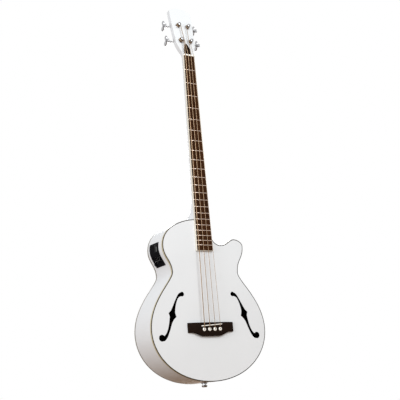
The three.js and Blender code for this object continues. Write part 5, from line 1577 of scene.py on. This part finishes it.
@dataclass
class Tuners:
    """The four geared tuners: plates with bushings, posts with gears, and keys with worms.

    Lines are rows of pairs, most of them for a turned profile: how far a corner lies beyond a radius, or
    its share of it, and how far along. boss is the start, end and radius of the key's boss, and lug is the
    width, height and edge of the lugs that hold the worm.
    """

    strings: Stringing
    head_thickness: float = 16
    post_top: float = 15.5
    slot_turns: Values = (0.31, -0.47, 0.23, -0.19)
    slot_width: float = 1.8
    slot_depth: float = 6
    cap_radius: float = 5.6
    stem_radius: float = 3.2
    bushing_radius: float = 6.3
    flange_radius: float = 8.6
    plate_width: float = 26
    plate_length: float = 34
    plate_thickness: float = 1.6
    plate_corner: float = 4
    plate_edge: float = 0.5
    flange_line: Line = ((-1.6, 0), (-0.4, 0.5), (0, 1.1))
    flange_sides: int = 44
    lug: Triple = (3, 6, 0.7)
    lug_reach: float = 3
    lug_sink: float = 0.8
    screw_size: Pair = (2, 0.9)
    screw_inset: float = 3.6
    screw_sink: float = 0.1
    cap_line: Line = ((-1, 0), (-0.3, 0.3), (0, 1), (0, 1.9), (-0.4, 2.6))
    throat_line: Line = ((-0.15, 3.4),)
    post_ease: float = 0.35
    post_taper: float = 1.2
    ear_steps: int = 20
    gear_teeth: int = 14
    gear_radius: float = 4.8
    tooth_depth: float = 0.7
    tooth_line: Line = ((-0.32, 0), (-0.14, 1), (0.14, 1), (0.32, 0))
    gear_gap: float = 0.6
    gear_mesh: float = 0.25
    gear_edge: float = 0.2
    gear_thickness: float = 5.5
    worm_radius: float = 1.9
    worm_length: float = 9
    threads: int = 8
    thread_line: Line = ((0, 0), (1, 0.3), (1, 0.55), (0, 0.85))
    shaft_radius: float = 1.5
    shaft_foot: float = -7.8
    key_sides: int = 32
    boss: Triple = (41, 48, 3.6)
    boss_line: Line = ((0.8, 0), (1, 0.6), (1, 2.6), (0.86, 3), (0.86, 3.4), (1, 3.8))
    waist_line: Line = ((0.6, 1.6), (0, 3))
    key_reach: float = 55.5
    collar_line: Line = ((0, -3), (1.6, -1.2), (3, 0), (3, 4.7), (0.9, 5.3))
    collar_top: float = 5.5
    lobes: int = 3
    lobe_steps: int = 84
    lobe_radius: float = 13
    lobe_swell: float = 6.3
    leaf_line: Line = ((0.55, 0.72), (0.82, 0.94), (0.93, 0.86), (0.98, 0.55), (1, 0))
    key_thickness: float = 4

    def __post_init__(self) -> None:
        """Works out the depths that the plate, gear and worm share."""
        self.plate_front = self.head_thickness + self.strings.fit
        self.plate_back = self.plate_front + self.plate_thickness
        self.gear_front = self.plate_back + self.gear_gap
        self.worm_depth = self.gear_front + self.gear_thickness / 2
        self.worm_rise = self.gear_radius + self.gear_mesh + self.worm_radius

    def plate(self) -> Shape:
        """Draws the plate with its bushing, lugs and four screws.

        Returns:
            The shape, about the post's place on the head.
        """
        fit, flange = self.strings.fit, self.flange_radius
        middle, half_x, half_z = self.worm_rise / 4, self.plate_width / 2, self.plate_length / 2
        base = Shape().slab(rounded_plan(half_x, half_z, self.plate_corner), self.plate_front,
                            self.plate_back, 0, self.plate_edge)
        shape = Shape().add(base, shift(0, 0, middle))
        top, bore = -fit - self.strings.flange_height, self.stem_radius + fit
        shape.turned([
            (bore, top), *beyond(flange, top, self.flange_line), (flange, -fit),
            (self.bushing_radius, -fit), (self.bushing_radius, self.plate_front), (bore, self.plate_front),
        ], self.flange_sides, hollow=True)
        width, height, edge = self.lug
        front, back = self.plate_front + self.lug_sink, self.worm_depth + self.lug_reach
        place = (self.worm_length + width) / 2 + fit
        for x in (-place, place):
            shape.add(bar(width, back - front, height, edge), shift(x, (back + front) / 2, self.worm_rise))
        head, turn = screw(*self.screw_size), spin(math.pi, "Z")
        across, up = half_x - self.screw_inset, half_z - self.screw_inset
        for x in (-across, across):
            for z in (-up, up):
                shape.add(head, shift(x, self.plate_back - self.screw_sink, middle + z) @ turn)
        return shape

    def post(self) -> Shape:
        """Draws the post: a stem with a flat head, split by the slot into two ears, and its gear.

        Returns:
            The shape, about the post's place on the head.
        """
        top, r, cap, fit = -self.post_top, self.strings.post_radius, self.cap_radius, self.strings.fit
        foot, floor = -self.strings.flange_height - 2 * fit, top + self.slot_depth
        waist, stem = r - self.post_ease, self.stem_radius
        shape = Shape().turned([
            (0, floor), (waist, floor), (r, foot - self.post_taper), (r, foot), (stem, foot),
            (stem, self.gear_front), (0, self.gear_front),
        ], self.flange_sides)
        levels = beyond(cap, top, self.cap_line) + beyond(r, top, self.throat_line)
        levels.append((waist, floor + fit))
        rings = []
        for radius, y in levels:
            reach = math.acos(self.slot_width / 2 / radius)
            turns = evenly(-reach, reach, self.ear_steps)
            rings.append([Vector((radius * math.cos(t), y, radius * math.sin(t))) for t in turns])
        for half in (0, math.pi):
            shape.add(Shape().loft(rings), spin(half, "Y"))
        return shape.add(self.gear())

    def gear(self) -> Shape:
        """Draws the toothed gear at the post's foot.

        Returns:
            The shape, about the post's place on the head.
        """
        teeth = []
        for i in range(self.gear_teeth):
            for across, out in self.tooth_line:
                turn = (i + across) * 2 * math.pi / self.gear_teeth
                radius = self.gear_radius - self.tooth_depth * (1 - out)
                teeth.append((radius * math.cos(turn), radius * math.sin(turn)))
        front, edge = self.gear_front, self.gear_edge
        return Shape().slab(teeth, front, front + self.gear_thickness, edge, edge, steps=1)

    def key_profile(self) -> Plan:
        """Draws the profile of the worm, the shaft, the boss and the collar that holds the leaf.

        Returns:
            The radius and the place along the shaft of each corner.
        """
        s, reach, worm = self.shaft_radius, self.strings.post_reach, self.worm_length
        start, end, boss = self.boss[0] - reach, self.boss[1] - reach, self.boss[2]
        face, step = self.key_reach - reach, worm / self.threads
        profile = [(0, self.shaft_foot), (s, self.shaft_foot)]
        for y in evenly(-worm / 2, worm / 2, self.threads)[:-1]:
            for out, along in self.thread_line:
                profile.append((blend(s, self.worm_radius, out), y + step * along))
        profile += [(s, worm / 2), (s, start)]
        profile += [(boss * share, start + along) for share, along in self.boss_line]
        profile.append((boss, end - 1))
        profile += beyond(s, end, self.waist_line) + beyond(s, face, self.collar_line)
        return profile + [(0, face + self.collar_top)]

    def key(self, side: int) -> Shape:
        """Draws the key: a worm and shaft, a boss and a three-lobed leaf.

        Args:
            side: -1 on the bass side and 1 on the treble side.

        Returns:
            The shape, about the post's place on the head.
        """
        shape = Shape().turned(self.key_profile(), self.key_sides)
        half = self.key_thickness / 2
        middle = self.key_reach - self.strings.post_reach + half
        turns = [2 * math.pi * i / self.lobe_steps for i in range(self.lobe_steps)]
        lobes = [(t, self.lobe_radius + self.lobe_swell * math.cos(self.lobes * t)) for t in turns]
        back = [(inward, -out) for inward, out in reversed(self.leaf_line[:-1])]
        rings = []
        for inward, out in [*self.leaf_line, *back]:
            rings.append([
                Vector((r * inward * math.sin(t), middle - half * out, r * inward * math.cos(t)))
                for t, r in lobes
            ])
        shape.loft(rings)
        along = spin(-QUARTER * side, "Z")
        return shape.moved(shift(0, self.worm_depth, self.worm_rise) @ along)

    def make(self) -> None:
        """Makes the four tuners."""
        for k, (side, place) in enumerate(zip(self.strings.sides, self.strings.rows)):
            seat = self.strings.head @ shift(side * self.strings.post_reach, 0, place)
            number = k + 1
            make(f"tuner_bed_{number}", self.plate().moved(seat), [CHROME, STEEL],
                 stands_for=[f"tuner_plate_{number}"])
            turn = spin(self.slot_turns[k], "Y")
            make(f"string_post_{number}", self.post().moved(seat @ turn), [CHROME],
                 body=f"tuner_post_{number}", stands_for=[f"tuner_post_{number}"])
            make(f"clover_key_{number}", self.key(side).moved(seat), [CHROME],
                 body=f"tuner_key_{number}", stands_for=[f"tuner_key_{number}"])
        LOG.info("tuners: %d", len(self.strings.sides))


# Preamp


@dataclass
class Preamp:
    """The black preamp in the bass side: panel, sliders, knob, button, door and screen.

    The panel, the window and the door are each a front, back, foot and head. A bar is its length, depth,
    height and edge, and a cap half its width, half its height and its corner. Spans, rises and sinks are
    counted from the face that a piece lies on.
    """

    outline: Outline
    panel: Quad = (26, 80, 351, 421)
    outer: float = 2.5
    gap: float = 0.3
    inner_reach: float = 2.5
    lean_span: float = 5
    window: Quad = (30, 49, 391.5, 418)
    pane_inset: float = 0.7
    pane_corner: float = 0.8
    pane_edge: float = 0.15
    pane_span: Pair = (0.3, 0.9)
    bright: Triple = (2.6, 7.5, 0.4)
    bright_place: Pair = (3.5, -4)
    bright_edge: float = 0.05
    bright_span: Pair = (0.1, 0.4)
    screw_size: Pair = (1.2, 0.35)
    screw_inset: Triple = (2.6, 3.2, 2.2)
    screw_sink: float = 0.06
    mark_rise: float = 0.02
    mark_offset: float = 3.1
    mark_pitch: float = 4.5
    short_mark: Values = (1.4, 0.24, 0.35, 0.05)
    long_mark: Values = (2.2, 0.24, 0.35, 0.05)
    dial_mark: Values = (0.35, 0.24, 1.0, 0.05)
    dial_marks: int = 11
    dial_start: float = -135
    dial_step: float = 27
    dial_radius: float = 6.6
    slider_places: Values = (33.5, 41.1, 48.7, 56.3)
    slider_row: float = 370
    cap: Triple = (2.3, 2.5, 0.6)
    cap_height: float = 3.4
    cap_edge: float = 0.6
    ridge: Values = (3.6, 0.3, 0.35, 0.08)
    ridge_places: Values = (-1.7, -0.9, 0.9, 1.7)
    index_line: Values = (3.8, 0.24, 0.5, 0.05)
    stem: Values = (1.6, 4.6, 1.6, 0.1)
    stem_place: float = -0.9
    foot: Values = (4, 0.8, 3, 0.15)
    foot_place: float = 1.3
    knob_place: float = 70
    knob_row: float = 362
    knob_height: float = 5
    knob_radii: Pair = (4.75, 5)
    knob_edge: float = 0.5
    knurls: int = 60
    knob_line: Line = ((0, 0.1), (3.6, 0.1), (3.9, 0), (4.2, 0.3), (0, 0.3))
    pointer: Values = (0.6, 0.24, 3, 0.05)
    pointer_sink: float = 0.08
    pointer_place: float = 2.4
    shaft_radius: float = 2
    shaft_sides: int = 20
    round_sides: int = 40
    button_row: float = 379
    button_rise: float = 1.2
    button_line: Line = (
        (0, -2.35), (1.6, -2.45), (2.6, -2.6), (3.1, -2.5), (3.4, -2.1), (3.4, 0), (2, 0),
    )
    door: Quad = (53.5, 76.5, 391.5, 418)
    door_ridges: int = 5
    door_ridge: Triple = (0.5, 0.8, 0.2)
    door_ridge_margin: float = 4
    door_ridge_pitch: float = 1.8
    door_ridge_sink: float = 0.05

    def seat(self, y: float, z: float) -> Matrix:
        """Gives the matrix that sets a shape on the wall: its -y points out, its z runs up the wall.

        Args:
            y: The depth of the place.
            z: Its height.

        Returns:
            The matrix.
        """
        run = self.outline.wall(z + self.lean_span) - self.outline.wall(z - self.lean_span)
        lean = math.atan2(run, 2 * self.lean_span)
        turn = spin(lean, "Y") @ spin(-QUARTER, "Z")
        return shift(self.outline.wall(z), y, z) @ turn

    def make_screen(self) -> None:
        """Makes the dark pane of the tuner, with its brighter window."""
        y0, y1, z0, z1 = self.window
        inset, face = self.pane_inset, -self.outer
        plan = rounded_plan((y1 - y0) / 2 - inset, (z1 - z0) / 2 - inset, self.pane_corner)
        front, back = (face + inwards for inwards in self.pane_span)
        pane = Shape().slab(plan, front, back, self.pane_edge)
        front, back = (face + inwards for inwards in self.bright_span)
        bright = Shape().slab(rounded_plan(*self.bright), front, back, self.bright_edge)
        across, up = self.bright_place
        pane.add(bright, shift(across, 0, up), 1)
        seat = self.seat((y0 + y1) / 2, (z0 + z1) / 2)
        make("tuner_screen", pane.moved(seat), [GLOSS_BLACK, SCREEN])

    def make_screws(self) -> None:
        """Makes the four screws in the panel's corners."""
        front, back, foot, head = self.panel
        across, low, high = self.screw_inset
        shape, place = Shape(), shift(0, self.screw_sink - self.outer, 0)
        for y in (front + across, back - across):
            for z in (foot + low, head - high):
                shape.add(screw(*self.screw_size), self.seat(y, z) @ place)
        # The crosses take gloss black: painted shade of the screws' recesses.
        make("panel_screws", shape, [STEEL, GLOSS_BLACK])

    def make_scales(self) -> None:
        """Makes the scales beside the sliders and the dial round the knob."""
        shape, face = Shape(), -self.outer - self.mark_rise
        for y in self.slider_places:
            for step in (-2, -1, 0, 1, 2):
                mark = bar(*(self.short_mark if step else self.long_mark))
                seat = self.seat(y - self.mark_offset, self.slider_row + step * self.mark_pitch)
                shape.add(mark, seat @ shift(0, face, 0))
        for i in range(self.dial_marks):
            turn = math.radians(self.dial_start + self.dial_step * i)
            place = self.seat(self.knob_place, self.knob_row) @ spin(turn, "Y")
            shape.add(bar(*self.dial_mark), place @ shift(0, face, self.dial_radius))
        make("scale_marks", shape, [WHITE_MARK])

    def make_sliders(self) -> None:
        """Makes the four slider caps, ridged and with a white index line."""
        back = -self.outer - self.gap
        front = back - self.cap_height
        for i, y in enumerate(self.slider_places):
            shape = Shape().slab(rounded_plan(*self.cap), front, back, self.cap_edge)
            for z in self.ridge_places:
                shape.add(bar(*self.ridge), shift(0, front + self.mark_rise, z))
            shape.add(bar(*self.index_line), shift(0, front + self.mark_rise, 0), 1)
            shape.add(bar(*self.stem), shift(0, self.stem_place, 0))
            shape.add(bar(*self.foot), shift(0, self.foot_place, 0))
            name, seat = f"eq_slider_{i + 1}", self.seat(y, self.slider_row)
            make(f"slider_cap_{i + 1}", shape.moved(seat), [BLACK_PLASTIC, WHITE_MARK],
                 body=name, stands_for=[name])

    def make_controls(self) -> None:
        """Makes the knurled volume knob and the tuner's button."""
        back, inside, shaft = -self.outer - self.gap, self.inner_reach, self.shaft_radius
        top = back - self.knob_height
        knurl = []
        for i, (x, z) in enumerate(round_plan(1, self.knurls)):
            radius = self.knob_radii[i % 2]
            knurl.append((x * radius, z * radius))
        shape = Shape().slab(knurl, top, back, self.knob_edge)
        shape.turned(beyond(0, top, self.knob_line), self.round_sides)
        shape.add(bar(*self.pointer), shift(0, top + self.pointer_sink, self.pointer_place), 1)
        shape.turned([(0, back), (shaft, back), (shaft, inside), (0, inside)], self.shaft_sides)
        seat = self.seat(self.knob_place, self.knob_row)
        make("volume_cap", shape.moved(seat), [BLACK_PLASTIC, WHITE_MARK],
             body="volume_knob", stands_for=["volume_knob"])
        profile = beyond(0, back - self.button_rise, self.button_line) + [(shaft, inside), (0, inside)]
        seat = self.seat(self.knob_place, self.button_row)
        make("tuner_push", Shape().turned(profile, self.round_sides).moved(seat), [BLACK_PLASTIC],
             body="tuner_button", stands_for=["tuner_button"])

    def make_door(self) -> None:
        """Makes the grip ridges of the battery door."""
        y0, y1, _, z1 = self.door
        ridge = bar(y1 - y0 - 2 * self.door_ridge_margin, *self.door_ridge)
        shape, place = Shape(), shift(0, self.door_ridge_sink - self.outer, 0)
        for i in range(self.door_ridges):
            z = z1 - self.door_ridge_margin - i * self.door_ridge_pitch
            shape.add(ridge, self.seat((y0 + y1) / 2, z) @ place)
        make("door_ridges", shape, [BLACK_PLASTIC], body="battery_door")

    def make(self) -> None:
        """Makes the whole preamp."""
        refine("preamp_panel", BLACK_PLASTIC, 0.35)
        refine("battery_door", BLACK_PLASTIC, 0.35, body="battery_door")
        self.make_screen()
        self.make_screws()
        self.make_scales()
        self.make_sliders()
        self.make_controls()
        self.make_door()
        LOG.info("preamp: panel, door, screen, knob, button and %d sliders", len(self.slider_places))


# Hardware


@dataclass
class Hardware:
    """The end jack with its washer and the strap button on the heel.

    A line gives pairs for a turned profile: how far each corner lies beyond a radius, or its share of it,
    and how far along, in millimetres or as a share of the length.
    """

    outline: Outline
    fit: float = 0.3
    reach: float = 13
    bore: float = 3.3
    neck: float = 5.5
    flare: float = 8.8
    collar: float = 8
    barrel: float = 6
    barrel_length: float = 46
    bore_depth: float = 25
    mouth_line: Line = ((0, 0.5), (0.4, 0))
    lip_line: Line = ((0, 0), (1.2, 0.5))
    flare_line: Line = ((-0.4, 2.4), (0, 3.0), (0, 4.6), (-0.5, 5.2))
    throat_line: Line = ((1.0, -5.4), (0, -4.6), (0, -1.7))
    collar_line: Line = ((-0.6, -1.5), (0, -0.9), (0, 0))
    jack_sides: int = 56
    washer_radius: float = 9.6
    washer_bore: float = 6.3
    washer_thickness: float = 1.4
    washer_front: Line = ((-0.4, 0), (0, 0.4))
    washer_back: Line = ((0, -0.2), (-0.2, 0))
    round_sides: int = 48
    button_radius: float = 7
    button_length: float = 11
    button_rise: float = 10
    felt_line: Line = ((0, 0), (1, 0), (1, 0.8), (0.9, 1.2))
    felt_rows: int = 2
    button_line: Line = (
        (0.9, 0.14), (0.62, 0.22), (0.54, 0.4), (0.56, 0.62), (0.8, 0.78), (0.97, 0.86), (1, 0.93),
        (0.95, 1),
    )
    line_steps: int = 3
    dish_line: Line = ((2.4, 0), (2.2, -0.4), (0, -0.4))
    screw_size: Pair = (2.1, 0.5)
    screw_sink: float = 0.45

    def make_jack(self) -> None:
        """Makes the end jack and its washer."""
        place = shift(0, self.outline.depth(0, 0) / 2, 0) @ spin(QUARTER, "X")
        tip, seat = -self.reach, -2 * self.fit - self.washer_thickness
        jack = Shape().turned([
            *beyond(self.bore, tip, self.mouth_line), *beyond(self.neck, tip, self.lip_line),
            *beyond(self.flare, tip, self.flare_line), *beyond(self.neck, seat, self.throat_line),
            *beyond(self.collar, seat, self.collar_line), (self.barrel, seat),
            (self.barrel, self.barrel_length), (0, self.barrel_length), (0, self.bore_depth),
            (self.bore, self.bore_depth),
        ], self.jack_sides, hollow=True)
        make("jack_barrel", jack.moved(place), [CHROME], stands_for=["end_jack"])
        front, back, radius = seat + self.fit, -self.fit, self.washer_radius
        ring = Shape().turned([
            (self.washer_bore, front), *beyond(radius, front, self.washer_front),
            *beyond(radius, back, self.washer_back), (self.washer_bore, back),
        ], self.round_sides, hollow=True)
        make("jack_ring", ring.moved(place), [BLACK_PLASTIC],
             stands_for=["jack_washer"])

    def make_button(self) -> None:
        """Makes the strap button with its felt and screw."""
        seat = self.outline.depth(0, self.outline.length) + self.fit
        radius, length, sides = self.button_radius, self.button_length, self.round_sides
        profile = [(radius * share, seat + along) for share, along in self.felt_line]
        for share, along in smooth_line(self.button_line, self.line_steps):
            profile.append((radius * share, seat + length * along))
        shape = Shape().turned(profile + beyond(0, seat + length, self.dish_line), sides)
        shape.marks[:sides * self.felt_rows] = [1] * sides * self.felt_rows
        head = screw(*self.screw_size)
        head.marks = [2 if mark else 0 for mark in head.marks]
        turn = spin(math.pi, "Z")
        shape.add(head, shift(0, seat + length - self.screw_sink, 0) @ turn)
        place = shift(0, 0, self.outline.length + self.button_rise)
        make("strap_knob", shape.moved(place), [CHROME, FELT, STEEL],
             stands_for=["strap_button"])

    def make(self) -> None:
        """Makes the hardware."""
        self.make_jack()
        self.make_button()
        LOG.info("hardware: jack, washer and strap button")


# Hidden pieces, studio and main

# The darkened spruce and mahogany here paint the shade inside the body.
HIDDEN_FINISHES: dict[str, Finish] = {
    "top_lining": SHADE_DARKENED_MAHOGANY, "back_lining": SHADE_DARKENED_MAHOGANY, "neck_block": SHADE_DARKENED_MAHOGANY, "tail_block": SHADE_DARKENED_MAHOGANY,
    "bridge_plate": SHADE_DARKENED_MAHOGANY, "top_brace": SHADE_DARKENED_SPRUCE, "back_brace": SHADE_DARKENED_SPRUCE, "saddle_pickup": BRASS,
    "truss_rod": STEEL, "preamp_case": BLACK_PLASTIC, "battery": GLOSS_BLACK, "circuit_board": CARD,
}


def finish_hidden_nodes() -> None:
    """Gives the frame's own nodes inside the body their finishes; the spruce and mahogany among them are
    darkened as painted shade of the closed body.
    """
    for node, finish in HIDDEN_FINISHES.items():
        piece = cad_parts[node]
        for slot in piece.material_slots:
            slot.material = finish.material()
    LOG.info("nodes kept inside: %d", len(HIDDEN_FINISHES))


@dataclass(frozen=True)
class Lamp:
    """A soft area lamp: its place and target in metres, its size, power and colour."""

    name: str
    place: Triple
    target: Triple
    size: float
    power: float
    colour: Colour

    def make(self) -> None:
        """Hangs the lamp."""
        light = bpy.data.lights.new(self.name, "AREA")
        light.shape, light.size = "SQUARE", self.size
        light.energy, light.color = self.power, self.colour
        lamp = bpy.data.objects.new(self.name, light)
        lamp.location = self.place
        aim = Vector(self.target) - Vector(self.place)
        lamp.rotation_euler = aim.to_track_quat("-Z", "Y").to_euler()
        bpy.context.scene.collection.objects.link(lamp)


@dataclass
class Studio:
    """The camera, the lamps, the white surround and the pale floor.

    The camera's place is in the maker's frame; the lamps' are in metres of the shared frame.
    """

    camera_place: Triple = (-1345.4, -2149.52, -60.4)
    camera_turn: Triple = (103.634, 4.571, -30.946)
    lens: float = 75.68
    surround: float = 0.45
    floor_height: float = -0.16
    floor_size: float = 4.0
    floor_steps: int = 6
    floor_bounce: Colour = (0.14, 0.06, 0.008)
    floor: Finish = Finish(
        "studio_floor", (0.74, 0.73, 0.71), (0.70, 0.69, 0.67), 0.7, Grain.CLOUD, (2, 2, 2), 0.02,
    )
    lamps: tuple[Lamp, ...] = (
        Lamp("key_lamp", (0.3, -3.2, 2.0), (0, 0, 0.75), 2.0, 90, (0.96, 0.985, 0.99)),
        Lamp("side_lamp", (-3.0, -0.8, 0.7), (0, 0, 0.7), 1.6, 56, (0.98, 0.985, 1.0)),
        Lamp("back_lamp", (1.7, 2.8, 1.0), (0, 0, 0.7), 1.8, 68, (1.0, 1.0, 1.0)),
    )

    def make_camera(self) -> None:
        """Places the camera at the photograph's viewing angle."""
        data = bpy.data.cameras.new("camera")
        data.lens = self.lens
        camera = bpy.data.objects.new("camera", data)
        camera.location = row(Vector(self.camera_place))
        camera.rotation_euler = Euler([math.radians(a) for a in self.camera_turn], "XYZ")
        bpy.context.scene.collection.objects.link(camera)
        bpy.context.scene.camera = camera

    def make_surround(self) -> None:
        """Makes the surround: white where it is seen or mirrored, softer where it lights."""
        world = bpy.data.worlds.new("surround")
        world.use_nodes = True
        nodes, links = world.node_tree.nodes, world.node_tree.links
        background = nodes["Background"]
        set_inputs(background, {"Color": (1, 1, 1, 1)})
        path = nodes.new("ShaderNodeLightPath")
        seen = path.outputs["Is Camera Ray"]
        for ray in ("Is Glossy Ray", "Is Transmission Ray"):
            either = nodes.new("ShaderNodeMath")
            either.operation = "MAXIMUM"
            links.new(seen, either.inputs[0])
            links.new(path.outputs[ray], either.inputs[1])
            seen = either.outputs[0]
        strength = nodes.new("ShaderNodeMapRange")
        set_inputs(strength, {"To Min": self.surround, "To Max": 1.0})
        links.new(seen, strength.inputs["Value"])
        links.new(strength.outputs["Result"], background.inputs["Strength"])
        bpy.context.scene.world = world

    def warm_bounce(self, material: Material) -> Material:
        """Lets the floor look pale and yet throw a warm light upwards.

        Args:
            material: The floor's material.

        Returns:
            The same material.
        """
        nodes, links = material.node_tree.nodes, material.node_tree.links
        base = nodes["Principled BSDF"].inputs["Base Color"]
        seen = base.links[0].from_socket
        path, mix = nodes.new("ShaderNodeLightPath"), nodes.new("ShaderNodeMix")
        mix.data_type = "RGBA"
        mix.inputs["A"].default_value = (*self.floor_bounce, 1)
        links.new(path.outputs["Is Camera Ray"], mix.inputs["Factor"])
        links.new(seen, mix.inputs["B"])
        links.new(mix.outputs["Result"], base)
        return material

    def make_floor(self) -> None:
        """Makes the plain pale floor."""
        half, steps = self.floor_size / 2, self.floor_steps
        mesh = bpy.data.meshes.new("floor")
        places = evenly(-half, half, steps)
        grid = [(x, y, self.floor_height) for y in places for x in places]
        wide = steps + 1
        faces = [(j * wide + i, j * wide + i + 1, (j + 1) * wide + i + 1, (j + 1) * wide + i)
                 for j in range(steps) for i in range(steps)]
        mesh.from_pydata(grid, [], faces)
        mesh.materials.append(self.warm_bounce(self.floor.material()))
        floor = bpy.data.objects.new("floor", mesh)
        bpy.context.scene.collection.objects.link(floor)

    def make(self) -> None:
        """Makes the whole studio."""
        bpy.context.scene.view_settings.view_transform = "Standard"
        self.make_camera()
        self.make_surround()
        self.make_floor()
        for lamp in self.lamps:
            lamp.make()
        LOG.info("studio: camera, surround, floor and %d lamps", len(self.lamps))


def main() -> None:
    """Builds the studio and the guitar."""
    logging.basicConfig(level=logging.INFO, format="%(name)s: %(message)s")
    Studio().make()
    outline = Outline()
    strings = Stringing()
    SoundBox(outline).make()
    Bridge(strings).make()
    strings.make()
    Neck(strings, outline).make()
    Tuners(strings).make()
    Preamp(outline).make()
    Hardware(outline).make()
    finish_hidden_nodes()


if __name__ == "__main__":
    main()
